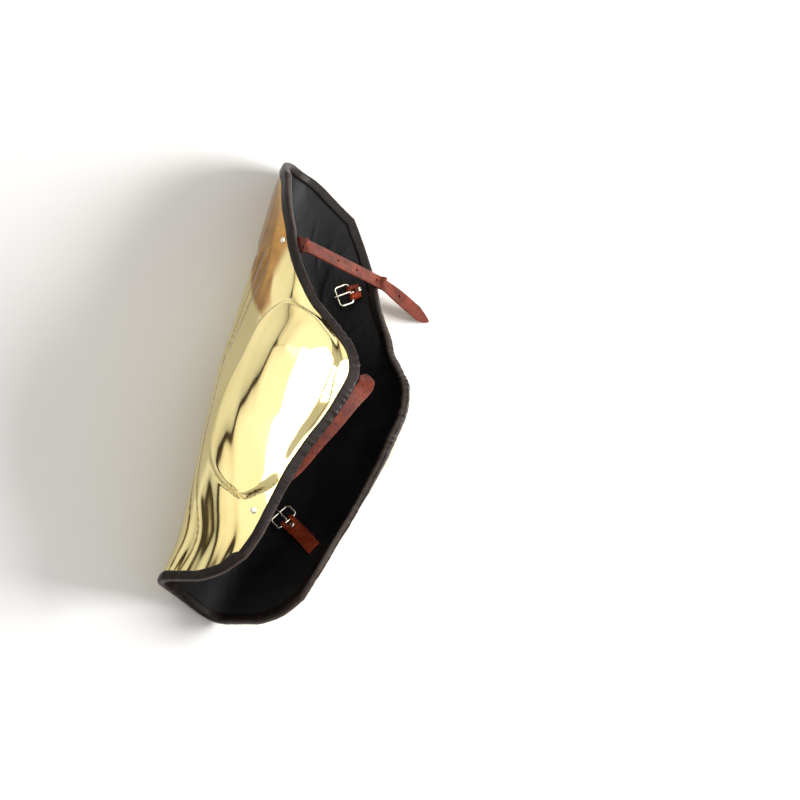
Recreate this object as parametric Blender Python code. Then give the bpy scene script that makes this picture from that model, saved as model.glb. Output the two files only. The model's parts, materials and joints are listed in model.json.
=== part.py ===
"""Greave: a brass plate for shin, knee and calf, with its lining, bound edge, straps and buckles.

Lengths are in metres. The plate is modelled in leg axes: +X towards the flank that it lies on, +Y
forwards over the shin, +Z up the leg. A parent empty then lays all of it down on a surface.
A place on the plate is (around, up): around runs from -1 at the near rim over 0 on the front ridge
to 1 at the far rim, and up runs from 0 at the lower edge to 1 at the top of the knee.
"""

import math
from collections import namedtuple

import bmesh
import bpy
import numpy as np
from mathutils import Matrix

# Plate, lining and bound edge
PLATE_HEIGHT = 0.400
CALF_WIDTH = 0.157
CALF_DEPTH = 0.172
FAR_FLANK_FLATTENING = 0.12
PLATE_THICKNESS = 0.0012
LINING_THICKNESS = 0.0020
BINDING_THICKNESS = 0.0014
BINDING_LEG = 0.0060
KNEE_DROP = 0.024
GAP = 0.0003
SEAT_GAP = 0.0006

# Relief, raised out of the plate
RIDGE_RISE = 0.0022
RIDGE_SPREAD = 0.015
CALF_MUSCLE_RISE = 0.0055
MUSCLE_FRONT_SLOPE = 0.010
MUSCLE_REAR_SLOPE = 0.018
FAR_MUSCLE_SHARE = 0.4
FAR_MUSCLE_INSET = 0.06
KNEECAP_RISE = 0.0045
KNEECAP_RADIUS = 0.024
KNEE_STEP = 0.0025
KNEE_STEP_SLOPE = 0.008

# Straps, tabs, buckles and rivets
STRAP_WIDTH = 0.0145
STRAP_THICKNESS = 0.0020
STRAP_POINT = 0.014
LOWER_STRAP_POINT = 0.006
STRAP_REACH = 0.059
STRAP_SWING = 0.005
STRAP_BEND = 0.007
TAB_WIDTH = 0.0130
TAB_THICKNESS = 0.0016
TAB_RETURN = 0.013
TAB_RIVET_FROM_BAR = 0.0078
TAB_SLOT = 0.0050
TAB_SLOT_BEHIND = 0.0046
WIRE_RADIUS = 0.0010
TONGUE_RADIUS = 0.0008
BUCKLE_LENGTH = 0.0140
BUCKLE_WIDTH = 0.0220
BUCKLE_CORNER = 0.0030
BUCKLE_TILT = 0.12
TONGUE_OVERHANG = 0.0015
RIVET_HEAD_RADIUS = 0.0030
TAB_RIVET_HEAD_RADIUS = 0.0024
RIVET_HEAD_HEIGHT = 0.0016
RIVET_SHANK_RADIUS = 0.0014

# How it lies: rolled onto the far flank, with the knee end lifted a little by its own form
REST_ROLL_DEG = 35.3
REST_PITCH_DEG = 1.9

# Fineness of the faceted surfaces
PLATE_COLUMNS = 28
PLATE_ROWS = 30
SECTION_SAMPLES = 60
SECTION_OVERRUN = 1.1
ROUND_SIDES = 8
WIRE_SIDES = 6

# Sections across the leg, from below the lower edge to above the knee. Shares: height of
# PLATE_HEIGHT; ridge, widest and rear of CALF_DEPTH; half_width of half CALF_WIDTH. rim is the
# angle, in degrees round the section from the ridge, at which the rim lies.
Section = namedtuple("Section", "height ridge half_width widest rear rim")
SECTIONS = [
    Section(-0.030, 0.047, 0.586, -0.116, 1.017, 110.8),
    Section(0.060, 0.012, 0.611, -0.174, 0.791, 122.5),
    Section(0.140, 0.000, 0.739, -0.244, 0.593, 135.0),
    Section(0.225, 0.006, 0.866, -0.326, 0.512, 141.9),
    Section(0.310, 0.035, 0.962, -0.419, 0.448, 148.5),
    Section(0.390, 0.064, 1.000, -0.477, 0.436, 153.5),
    Section(0.460, 0.093, 0.981, -0.494, 0.457, 154.6),
    Section(0.520, 0.110, 0.930, -0.488, 0.425, 149.5),
    Section(0.575, 0.119, 0.866, -0.471, 0.340, 137.4),
    Section(0.650, 0.125, 0.809, -0.442, 0.203, 117.2),
    Section(0.720, 0.122, 0.764, -0.366, 0.203, 100.4),
    Section(0.790, 0.113, 0.745, -0.297, 0.209, 90.5),
    Section(0.860, 0.122, 0.720, -0.279, 0.232, 77.0),
    Section(0.940, 0.134, 0.688, -0.291, 0.232, 58.4),
    Section(1.005, 0.105, 0.637, -0.291, 0.232, 45.0),
]

# The lower edge dips at the flanks: shares of the way round, and of PLATE_HEIGHT
LowerEdge = namedtuple("LowerEdge", "around dip")
LOWER_EDGE = [
    LowerEdge(0.00, -0.008),
    LowerEdge(0.11, -0.011),
    LowerEdge(0.42, -0.024),
    LowerEdge(0.75, -0.026),
    LowerEdge(0.92, -0.008),
    LowerEdge(1.00, 0.028),
]

# The calf muscle is a leaf raised on each flank: its two edges as shares of the way round
MuscleEdge = namedtuple("MuscleEdge", "up front rear")
CALF_MUSCLE = [
    MuscleEdge(0.172, 0.85, 0.79),
    MuscleEdge(0.187, 0.76, 0.86),
    MuscleEdge(0.200, 0.68, 0.92),
    MuscleEdge(0.240, 0.565, 0.930),
    MuscleEdge(0.300, 0.495, 0.930),
    MuscleEdge(0.400, 0.480, 0.93),
    MuscleEdge(0.480, 0.500, 0.905),
    MuscleEdge(0.550, 0.545, 0.915),
    MuscleEdge(0.600, 0.660, 0.91),
    MuscleEdge(0.625, 0.76, 0.84),
    MuscleEdge(0.645, 0.85, 0.78),
]

# Knee relief, as shares of PLATE_HEIGHT up the leg
KNEECAP_UP = 0.770
KNEE_ARCH_TOP = 0.848
KNEE_ARCH_FALL = 0.085
KNEE_ARCH_HALF_SPAN = 0.050
RIDGE_FADE = 0.03

# Places on the plate
UPPER_STRAP_RIVET = (-0.885, 0.800)
UPPER_STRAP_START = (-0.700, 0.793)
UPPER_STRAP_LEAVES = (-0.960, 0.804)
UPPER_STRAP_CROSSING = (1.0, 0.853)
LOWER_STRAP_RIVET = (-0.895, 0.146)
UPPER_TAB_ROOT = (0.872, 0.813)
UPPER_TAB_BAR = (0.790, 0.795)
LOWER_TAB_ROOT = (0.815, 0.176)
LOWER_TAB_BAR = (0.470, 0.246)

# The lower strap runs up behind the near rim, then leaves the lining. Each step: its place on the
# lining, how far it stands off the lining, and how far it leans across the opening, both as
# shares of the strap's width.
StrapStep = namedtuple("StrapStep", "around up lift lean")
LOWER_STRAP_ROUTE = [
    StrapStep(-0.895, 0.115, 0.03, 0.0),
    StrapStep(*LOWER_STRAP_RIVET, 0.03, 0.0),
    StrapStep(-0.900, 0.190, 0.08, 0.12),
    StrapStep(-0.918, 0.230, 0.18, 0.55),
    StrapStep(-0.930, 0.270, 0.28, 0.98),
    StrapStep(-0.950, 0.323, 0.40, 1.08),
    StrapStep(-0.970, 0.378, 0.52, 1.08),
    StrapStep(-0.985, 0.436, 0.62, 1.18),
    StrapStep(-1.000, 0.499, 0.70, 1.50),
    StrapStep(-1.000, 0.543, 0.72, 2.00),
]

# The upper strap's free end, as shares of its reach and of the height it falls
StrapFall = namedtuple("StrapFall", "reach fallen")
STRAP_HANG = [
    StrapFall(0.12, 0.05),
    StrapFall(0.45, 0.38),
    StrapFall(0.75, 0.72),
    StrapFall(1.00, 1.00),
]

STACK = PLATE_THICKNESS + GAP + LINING_THICKNESS


def smooth(places, values, at):
    """A cubic through the points that never overshoots them."""
    places = np.asarray(places, float)
    values = np.asarray(values, float)
    at = np.asarray(at, float)
    step = np.diff(places)
    slope = np.diff(values) / step
    tangent = np.empty_like(places)
    tangent[0] = slope[0]
    tangent[-1] = slope[-1]
    before = 2 * step[1:] + step[:-1]
    after = step[1:] + 2 * step[:-1]
    rising = slope[1:] * slope[:-1] > 0
    left = np.where(rising, slope[:-1], 1)
    right = np.where(rising, slope[1:], 1)
    tangent[1:-1] = np.where(rising, (before + after) / (before / left + after / right), 0)
    i = np.clip(np.searchsorted(places, at) - 1, 0, len(step) - 1)
    t = (at - places[i]) / step[i]
    return (
        (1 + 2 * t) * (1 - t) ** 2 * values[i]
        + t * (1 - t) ** 2 * step[i] * tangent[i]
        + t**2 * (3 - 2 * t) * values[i + 1]
        + t**2 * (t - 1) * step[i] * tangent[i + 1]
    )


def soft_step(distance, width):
    """0 at -width/2 and below, 1 at width/2 and above."""
    t = np.clip(distance / width + 0.5, 0, 1)
    return t * t * (3 - 2 * t)


def unit(vectors):
    vectors = np.asarray(vectors, float)
    return vectors / np.linalg.norm(vectors, axis=-1, keepdims=True)


def section_at(height):
    """The section's sizes in metres, and its rim angle in radians, at a height in metres."""
    share = height / PLATE_HEIGHT
    heights = [row.height for row in SECTIONS]

    def column(name):
        return smooth(heights, [getattr(row, name) for row in SECTIONS], share)

    return (
        column("ridge") * CALF_DEPTH,
        column("half_width") * CALF_WIDTH / 2,
        column("widest") * CALF_DEPTH,
        column("rear") * CALF_DEPTH,
        np.radians(column("rim")),
    )


def lower_edge(around):
    places = [row.around for row in LOWER_EDGE]
    return smooth(places, [row.dip for row in LOWER_EDGE], np.abs(around)) * PLATE_HEIGHT


def upper_edge(around):
    return PLATE_HEIGHT - KNEE_DROP * np.abs(around) ** 3


def bare_point(around, up):
    """A point of the plate before its relief, and the section's length from ridge to rim."""
    height = lower_edge(around) * (1 - up) + upper_edge(around) * up
    ridge, half_width, widest, rear, rim = section_at(height)
    angle = rim * np.linspace(0, SECTION_OVERRUN, SECTION_SAMPLES)
    xs = half_width * np.sin(angle)
    ys = widest + np.where(np.cos(angle) > 0, ridge - widest, rear) * np.cos(angle)
    lengths = np.concatenate([[0], np.cumsum(np.hypot(np.diff(xs), np.diff(ys)))])
    to_rim = np.interp(rim, angle, lengths)
    along = abs(around) * to_rim
    x = math.copysign(np.interp(along, lengths, xs), around)
    if around > 0:
        x *= 1 - FAR_FLANK_FLATTENING * 4 * around * (1 - around)
    return np.array([x, np.interp(along, lengths, ys), height]), to_rim


def normal_at(around, up):
    """Outward normal of the plate before its relief."""
    step = 0.004
    across = bare_point(around + step, up)[0] - bare_point(around - step, up)[0]
    along = bare_point(around, up + step)[0] - bare_point(around, up - step)[0]
    return unit(np.cross(along, across))


def calf_muscle(around, up, length):
    """Height of the raised calf muscle, with a crisp front edge and a soft rear one."""
    places = [row.up for row in CALF_MUSCLE]
    front = smooth(places, [row.front for row in CALF_MUSCLE], up)
    rear = smooth(places, [row.rear for row in CALF_MUSCLE], up)
    if up < places[0] or up > places[-1]:
        return 0.0
    share = 1.0
    if around > 0:
        share = FAR_MUSCLE_SHARE
        rear -= FAR_MUSCLE_INSET
    from_front = (abs(around) - front) * length
    from_rear = (rear - abs(around)) * length
    raised = soft_step(from_front, MUSCLE_FRONT_SLOPE) * soft_step(from_rear, MUSCLE_REAR_SLOPE)
    return CALF_MUSCLE_RISE * share * raised


def kneecap(distance, height):
    """The round boss over the kneecap."""
    reach = math.hypot(distance, height - KNEECAP_UP * PLATE_HEIGHT) / KNEECAP_RADIUS
    return KNEECAP_RISE * max(0.0, 1 - reach**2) ** 1.5


def knee_dome(distance, height):
    """The dome that stands proud above the arch over the kneecap."""
    bow = (distance / KNEE_ARCH_HALF_SPAN) ** 2
    arch = (KNEE_ARCH_TOP - KNEE_ARCH_FALL * bow) * PLATE_HEIGHT
    return KNEE_STEP * soft_step(height - arch, KNEE_STEP_SLOPE) * max(0.0, 1 - bow / 1.6)


def ridge_crest(distance, height):
    """The crest down the shin, which starts under the kneecap."""
    start = (KNEECAP_UP - RIDGE_FADE) * PLATE_HEIGHT - KNEECAP_RADIUS / 2
    fade = soft_step(start - height, RIDGE_FADE * PLATE_HEIGHT)
    return RIDGE_RISE * fade * max(0.0, 1 - distance / RIDGE_SPREAD) ** 1.5


def relief_at(around, up):
    """Bare point and normal, and how far the lining's and the plate's relief stand off there."""
    point, length = bare_point(around, up)
    distance = abs(around) * length
    dome = knee_dome(distance, point[2])
    rise = calf_muscle(around, up, length) + kneecap(distance, point[2])
    rise += ridge_crest(distance, point[2])
    return point, normal_at(around, up), dome, dome + rise


# A face of the plate or lining as a grid: rows up the leg, columns from the near rim to the far one
Face = namedtuple("Face", "points ups arounds")


def plate_grids():
    """The plate's outer face, the same face without what only the metal shows, and the normals."""
    inset = BINDING_LEG / PLATE_HEIGHT
    ups = np.array([0, *np.linspace(inset, 1 - inset, PLATE_ROWS - 1), 1])
    arounds = []
    for up in ups:
        reach = 1 - BINDING_LEG / bare_point(0, up)[1]
        arounds.append([-1, *np.linspace(-reach, reach, PLATE_COLUMNS - 1), 1])
    arounds = np.array(arounds)
    plate = np.zeros((*arounds.shape, 3))
    plain = np.zeros_like(plate)
    normals = np.zeros_like(plate)
    for j, up in enumerate(ups):
        for i, around in enumerate(arounds[j]):
            point, normal, dome, rise = relief_at(around, up)
            plate[j, i] = point + normal * rise
            plain[j, i] = point + normal * dome
            normals[j, i] = normal
    return Face(plate, ups, arounds), Face(plain, ups, arounds), normals


def moved(face, normals, distance):
    """The same face, farther in by a distance."""
    return face._replace(points=face.points - normals * distance)


def facet_at(face, around, up):
    """Point and outward normal of the faceted surface itself at a place on the plate."""
    grid = face.points
    j = min(int(np.searchsorted(face.ups, up, side="right")) - 1, len(face.ups) - 2)
    t = (up - face.ups[j]) / (face.ups[j + 1] - face.ups[j])
    row = face.arounds[j] * (1 - t) + face.arounds[j + 1] * t
    i = max(0, min(int(np.searchsorted(row, around, side="right")) - 1, len(row) - 2))
    s = (around - row[i]) / (row[i + 1] - row[i])
    here, beside, above, across = grid[j, i], grid[j, i + 1], grid[j + 1, i], grid[j + 1, i + 1]
    normal = unit(np.cross((above - here) + (across - beside), (beside - here) + (across - above)))
    if s > t:
        return here + s * (beside - here) + t * (across - beside), normal
    return here + t * (above - here) + s * (across - above), normal


def material(name, color, roughness, metallic):
    made = bpy.data.materials.new(name)
    made.use_nodes = True
    shader = made.node_tree.nodes["Principled BSDF"]
    shader.inputs["Base Color"].default_value = (*color, 1)
    shader.inputs["Roughness"].default_value = roughness
    shader.inputs["Metallic"].default_value = metallic
    return made


def add_object(name, mesh_builder, finish, parent):
    """One named object from a bmesh, its faces turned outwards and its round forms smooth."""
    bmesh.ops.recalc_face_normals(mesh_builder, faces=mesh_builder.faces)
    mesh = bpy.data.meshes.new(name)
    mesh_builder.to_mesh(mesh)
    mesh_builder.free()
    mesh.shade_smooth()
    mesh.set_sharp_from_angle(angle=math.radians(35))
    mesh.materials.append(finish)
    made = bpy.data.objects.new(name, mesh)
    bpy.context.collection.objects.link(made)
    made.parent = parent
    return made


def two_sided(outer, inner):
    """A closed wall between two faces. Next to the rim its triangles match the binding's."""
    builder = bmesh.new()
    rows, columns = outer.points.shape[:2]
    sides = [[[builder.verts.new(p) for p in row] for row in face.points] for face in (outer, inner)]
    for side in sides:
        for j in range(rows - 1):
            for i in range(columns - 1):
                here, beside = side[j][i], side[j][i + 1]
                above, across = side[j + 1][i], side[j + 1][i + 1]
                if i in (0, columns - 2):
                    here, beside, across, above = beside, across, above, here
                builder.faces.new((here, beside, across))
                builder.faces.new((here, across, above))
    rims = [[side[j][i] for j, i in rim_corners(rows, columns)] for side in sides]
    for k in range(len(rims[0])):
        after = (k + 1) % len(rims[0])
        builder.faces.new((rims[0][k], rims[0][after], rims[1][after], rims[1][k]))
    return builder


def rim_corners(rows, columns):
    """Row and column of each corner round the rim, once."""
    low = [(0, i) for i in range(columns - 1)]
    right = [(j, columns - 1) for j in range(rows - 1)]
    high = [(rows - 1, i) for i in range(columns - 1, 0, -1)]
    left = [(j, 0) for j in range(rows - 1, 0, -1)]
    return low + right + high + left


def skin(rings, closed=False, other_way=()):
    """A closed solid through rings of points, looped on itself or capped at both ends.

    other_way lists the corners of a ring after which the triangles are cut the other way.
    """
    builder = bmesh.new()
    made = [[builder.verts.new(point) for point in ring] for ring in rings]
    count = len(made[0])
    last = len(made) if closed else len(made) - 1
    for k in range(last):
        here = made[k]
        there = made[(k + 1) % len(made)]
        for i in range(count):
            quad = [here[i], here[(i + 1) % count], there[(i + 1) % count], there[i]]
            if i in other_way:
                quad = quad[1:] + quad[:1]
            builder.faces.new((quad[0], quad[1], quad[2]))
            builder.faces.new((quad[0], quad[2], quad[3]))
    if not closed:
        builder.faces.new(made[0])
        builder.faces.new(made[-1])
    return builder


def curve_through(points, steps):
    """A smooth curve through points, with as many steps between each two."""
    points = np.array([2 * points[0] - points[1], *points, 2 * points[-1] - points[-2]])
    made = []
    for k in range(1, len(points) - 2):
        a, b, c, d = points[k - 1 : k + 3]
        for t in np.linspace(0, 1, steps, endpoint=False):
            made.append(
                0.5
                * (
                    2 * b
                    + (c - a) * t
                    + (2 * a - 5 * b + 4 * c - d) * t**2
                    + (3 * b - a - 3 * c + d) * t**3
                )
            )
    made.append(points[-2])
    return np.array(made)


def travel(points):
    """Distance along the points up to each of them."""
    return np.concatenate([[0], np.cumsum(np.linalg.norm(np.diff(points, axis=0), axis=1))])


def ribbon(points, sideways, width, thickness, point_length=0.0):
    """Rings of a flat strap along points. sideways is its width's direction at each of them."""
    tangents = unit(np.gradient(points, axis=0))
    sideways = unit(sideways - (sideways * tangents).sum(1, keepdims=True) * tangents)
    normals = np.cross(sideways, tangents)
    to_end = travel(points)[-1] - travel(points)
    rings = []
    for point, side, normal, left in zip(points, sideways, normals, to_end):
        half = width / 2
        if point_length:
            half *= min(1.0, 0.12 + 0.88 * (left / point_length) ** 0.7)
        across = side * half
        through = normal * thickness / 2
        ring = [point - across - through, point + across - through]
        ring += [point + across + through, point - across + through]
        rings.append(ring)
    return rings


def tube(points, radius, sides, sideways, closed=False):
    """Rings of a round wire along points that lie in the plane across sideways."""
    if closed:
        tangents = unit(np.roll(points, -1, axis=0) - np.roll(points, 1, axis=0))
    else:
        tangents = unit(np.gradient(points, axis=0))
    rings = []
    for point, tangent in zip(points, tangents):
        side = unit(sideways)
        other = np.cross(tangent, side)
        angles = [2 * math.pi * k / sides for k in range(sides)]
        rings.append([point + radius * (side * math.cos(a) + other * math.sin(a)) for a in angles])
    return rings


def turned(base, axis, profile, sides):
    """Rings of a solid turned about axis. profile holds (radius, height) from one end to the other."""
    axis = unit(axis)
    side = unit(np.cross(axis, [0.31, 0.17, 0.93]))
    other = np.cross(axis, side)
    angles = [2 * math.pi * k / sides for k in range(sides)]
    rings = []
    for radius, height in profile:
        centre = base + axis * height
        rings.append([centre + radius * (side * math.cos(a) + other * math.sin(a)) for a in angles])
    return rings


def leg_end(j, i, rows, columns):
    """Where the binding's leg ends for a corner of the rim, in rows and columns of the grid."""
    step_in = 1.25
    row_margin = 1 if j in (0, rows - 1) else step_in
    column_margin = 1 if i in (0, columns - 1) else step_in
    row = np.clip(j, row_margin, rows - 1 - row_margin)
    column = np.clip(i, column_margin, columns - 1 - column_margin)
    return row, column


def between(grid, row, column):
    """A value between the corners of a grid."""
    j = min(int(row), grid.shape[0] - 2)
    i = min(int(column), grid.shape[1] - 2)
    t = row - j
    s = column - i
    low = grid[j, i] * (1 - s) + grid[j, i + 1] * s
    high = grid[j + 1, i] * (1 - s) + grid[j + 1, i + 1] * s
    return low * (1 - t) + high * t


def binding_rings(outer, inner, normals):
    """Rings of the leather folded over the rim, from the outer face of the plate to the lining's."""
    rings = []
    rows, columns = normals.shape[:2]
    far = GAP + BINDING_THICKNESS
    for j, i in rim_corners(rows, columns):
        row, column = leg_end(j, i, rows, columns)
        leg_normal = between(normals, row, column)
        leg_outer = between(outer.points, row, column)
        leg_inner = between(inner.points, row, column)
        normal = normals[j, i]
        rim_outer = outer.points[j, i]
        rim_inner = inner.points[j, i]
        outwards = -unit(leg_outer - rim_outer)
        rings.append(
            [
                leg_outer + leg_normal * GAP,
                rim_outer + normal * GAP + outwards * SEAT_GAP,
                rim_inner - normal * GAP + outwards * SEAT_GAP,
                leg_inner - leg_normal * SEAT_GAP,
                leg_inner - leg_normal * (SEAT_GAP + BINDING_THICKNESS),
                rim_inner - normal * far * 0.9 + outwards * far * 0.6,
                (rim_outer + rim_inner) / 2 + outwards * far * 1.4,
                rim_outer + normal * far * 0.9 + outwards * far * 0.6,
                leg_outer + leg_normal * far,
            ]
        )
    return rings


def rivet_rings(face, normal, depth, head):
    """A domed rivet through the layers, with a head outside and one inside."""
    rise = RIVET_HEAD_HEIGHT
    profile = [
        (head * 0.45, GAP + rise),
        (head * 0.85, GAP + rise * 0.6),
        (head, GAP),
        (RIVET_SHANK_RADIUS, GAP),
        (RIVET_SHANK_RADIUS, -depth - SEAT_GAP),
        (head * 0.9, -depth - SEAT_GAP),
        (head * 0.75, -depth - SEAT_GAP - rise * 0.5),
        (head * 0.35, -depth - SEAT_GAP - rise * 0.75),
    ]
    return turned(face, normal, profile, ROUND_SIDES)


def drill(objects, face, normal, depth):
    """Cuts a rivet's hole through the layers that it holds."""
    margin = 2 * RIVET_HEAD_HEIGHT
    radius = RIVET_SHANK_RADIUS + GAP
    profile = [(radius, margin), (radius, -depth - margin)]
    cutter = add_cutter("rivet_hole", skin(turned(face, normal, profile, ROUND_SIDES)), objects[0])
    for target in objects:
        add_cut(target, cutter)


def add_cutter(name, builder, target):
    """A form that is only there to be cut out of others."""
    cutter = add_object(name, builder, CUTTER_FINISH, target.parent)
    cutter.hide_render = True
    cutter.display_type = "WIRE"
    return cutter


def add_cut(target, cutter):
    cut = target.modifiers.new(cutter.name, "BOOLEAN")
    cut.operation = "DIFFERENCE"
    cut.solver = "EXACT"
    cut.object = cutter


def upper_strap_points(lining_face, up_vector, floor):
    """From its start inside the near flank, across the opening, over the far rim to the surface."""
    half = STRAP_THICKNESS / 2
    over_binding = GAP + BINDING_THICKNESS + SEAT_GAP + half
    start, facing = facet_at(lining_face, *UPPER_STRAP_START)
    start = start - facing * (SEAT_GAP + half)
    rivet, facing = facet_at(lining_face, *UPPER_STRAP_RIVET)
    rivet = rivet - facing * over_binding
    leaves, facing = facet_at(lining_face, *UPPER_STRAP_LEAVES)
    leaves = leaves - facing * over_binding
    heading = unit(leaves - rivet)
    rim = facet_at(lining_face, -1, UPPER_STRAP_LEAVES[1])[0] - facing * over_binding
    past = rim + heading * (BINDING_THICKNESS + GAP)
    far_rim = facet_at(lining_face, *UPPER_STRAP_CROSSING)[0]
    crossing = far_rim + np.array([0, -over_binding - BINDING_THICKNESS, 0])
    over_there = unit(crossing - past)
    bend = past + STRAP_BEND * (heading * 0.7 + over_there * 0.3)
    turn = past + STRAP_BEND * (heading + over_there)
    middle = (turn + crossing) / 2
    flat = unit(np.array([1.0, 0, 0]) - up_vector[0] * up_vector)
    drop = up_vector * (crossing @ up_vector - floor - half - SEAT_GAP)
    swing = np.array([0, 0, -STRAP_SWING])
    reach = flat * STRAP_REACH + swing
    route = [start, rivet, leaves, past, bend, turn, middle, crossing]
    route += [crossing + reach * step.reach - drop * step.fallen for step in STRAP_HANG]
    up_leg = np.array([0, 0, 1.0])
    along_rim = far_rim - facet_at(lining_face, 1, UPPER_STRAP_CROSSING[1] - 0.04)[0]
    along_rim = unit([0, along_rim[1], along_rim[2]])
    hanging = unit(up_leg + along_rim)
    edgeways = [up_leg] * 3 + [unit(up_leg * 2 + along_rim)] + [along_rim] * 5 + [hanging] * 3
    return curve_through(np.array(route), 3), curve_through(np.array(edgeways), 3), rivet


def lower_strap_points(lining_face):
    """Up behind the near rim, leaving the lining towards its pointed end."""
    seat = SEAT_GAP + STRAP_THICKNESS / 2
    route = []
    facing = []
    for step in LOWER_STRAP_ROUTE:
        point, normal = facet_at(lining_face, step.around, step.up)
        lean = np.array([step.lean * STRAP_WIDTH, 0, 0])
        route.append(point - normal * (seat + step.lift * STRAP_WIDTH) + lean)
        facing.append(normal)
    return curve_through(np.array(route), 2), curve_through(np.array(facing), 2)


Tab = namedtuple("Tab", "points sides sideways bar along inwards rivet")


def tab_layout(lining_face, root, bar_place):
    """A tab from its root to the buckle's bar, round the bar and back over itself."""
    seat = SEAT_GAP + TAB_THICKNESS / 2
    loop = WIRE_RADIUS + GAP + TAB_THICKNESS / 2
    base = []
    facing = []
    for t in np.linspace(0, 1, 6):
        place = [root[0] * (1 - t) + bar_place[0] * t, root[1] * (1 - t) + bar_place[1] * t]
        point, normal = facet_at(lining_face, *place)
        base.append(point - normal * seat)
        facing.append(normal)
    base = np.array(base)
    along = unit(base[-1] - base[-2])
    inwards = -facing[-1]
    inwards = unit(inwards - (inwards @ along) * along)
    sideways = np.cross(along, inwards)
    bar = base[-1] + inwards * loop
    turns = np.radians(np.linspace(-60, 90, 6))
    around = [bar + loop * (along * math.cos(t) + inwards * math.sin(t)) for t in turns]
    layer = TAB_THICKNESS + GAP
    length = travel(base)[-1]

    def on_base(distance):
        """The lower layer's point at a distance behind the bar."""
        return np.array([np.interp(length - distance, travel(base), base[:, k]) for k in range(3)])

    back = []
    for t in (0.3, 0.5, 1.0):
        fall = layer + (2 * loop - layer) * max(0, 1 - 2 * t)
        back.append(on_base(TAB_RETURN * t) + inwards * fall)
    points = np.array([*base, *around, *back])
    sides = np.tile(sideways, (len(points), 1))
    for k, tangent in enumerate(unit(np.gradient(base, axis=0))):
        sides[k] = np.cross(tangent, -facing[k])
    rivet = on_base(TAB_RIVET_FROM_BAR) + inwards * layer
    return Tab(points, sides, sideways, bar, along, inwards, rivet)


def buckle_points(tab):
    """The frame's centreline: a rounded oblong whose first side is the bar."""
    forward = unit(tab.along + tab.inwards * BUCKLE_TILT)
    side = tab.sideways
    half_width = BUCKLE_WIDTH / 2 - WIRE_RADIUS
    length = BUCKLE_LENGTH - 2 * WIRE_RADIUS
    points = []
    for centre_along, centre_side, first in (
        (BUCKLE_CORNER, half_width - BUCKLE_CORNER, 180),
        (length - BUCKLE_CORNER, half_width - BUCKLE_CORNER, 90),
        (length - BUCKLE_CORNER, BUCKLE_CORNER - half_width, 0),
        (BUCKLE_CORNER, BUCKLE_CORNER - half_width, -90),
    ):
        for turn in np.radians(np.linspace(first, first - 90, 4)):
            along = centre_along + BUCKLE_CORNER * math.cos(turn)
            across = centre_side + BUCKLE_CORNER * math.sin(turn)
            points.append(tab.bar + forward * along + side * across)
    return np.array(points), forward


def tongue_points(tab, forward):
    """The prong's centreline: an eye round the bar, then straight over the frame's far side."""
    upwards = unit(np.cross(tab.sideways, forward))
    if upwards @ tab.inwards < 0:
        upwards = -upwards
    eye = WIRE_RADIUS + GAP + TONGUE_RADIUS
    turns = np.radians(np.linspace(175, 430, 9))
    ring = [tab.bar + eye * (forward * math.cos(t) + upwards * math.sin(t)) for t in turns[:-1]]
    rise = WIRE_RADIUS + TONGUE_RADIUS + GAP
    length = BUCKLE_LENGTH - 2 * WIRE_RADIUS
    start = tab.bar + eye * (forward * math.cos(turns[-1]) + upwards * math.sin(turns[-1]))
    rest = tab.bar + forward * length + upwards * rise
    tip = rest + forward * (WIRE_RADIUS + TONGUE_OVERHANG)
    return np.array([*ring, start, start * 0.5 + rest * 0.5, rest, tip])


def lay_down(root, objects):
    """Puts the origin under the middle of the laid part, at the surface that it rests on."""
    bpy.context.view_layer.update()
    graph = bpy.context.evaluated_depsgraph_get()
    corners = []
    for item in objects:
        evaluated = item.evaluated_get(graph)
        mesh = evaluated.to_mesh()
        corners += [item.matrix_world @ vertex.co for vertex in mesh.vertices]
        evaluated.to_mesh_clear()
    low = [min(corner[k] for corner in corners) for k in range(3)]
    high = [max(corner[k] for corner in corners) for k in range(3)]
    root.location = (-(low[0] + high[0]) / 2, -(low[1] + high[1]) / 2, -low[2])


for leftover in list(bpy.data.objects):
    bpy.data.objects.remove(leftover, do_unlink=True)

BRASS = material("polished_brass", (0.80, 0.66, 0.33), 0.16, 1.0)
LINING_LEATHER = material("lining_leather", (0.012, 0.012, 0.013), 0.55, 0.0)
BINDING_LEATHER = material("binding_leather", (0.035, 0.026, 0.022), 0.5, 0.0)
STRAP_LEATHER = material("strap_leather", (0.24, 0.055, 0.03), 0.5, 0.0)
BRIGHT_METAL = material("bright_metal", (0.80, 0.78, 0.72), 0.2, 1.0)
CUTTER_FINISH = material("cutter", (0.5, 0.5, 0.5), 0.5, 0.0)

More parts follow.
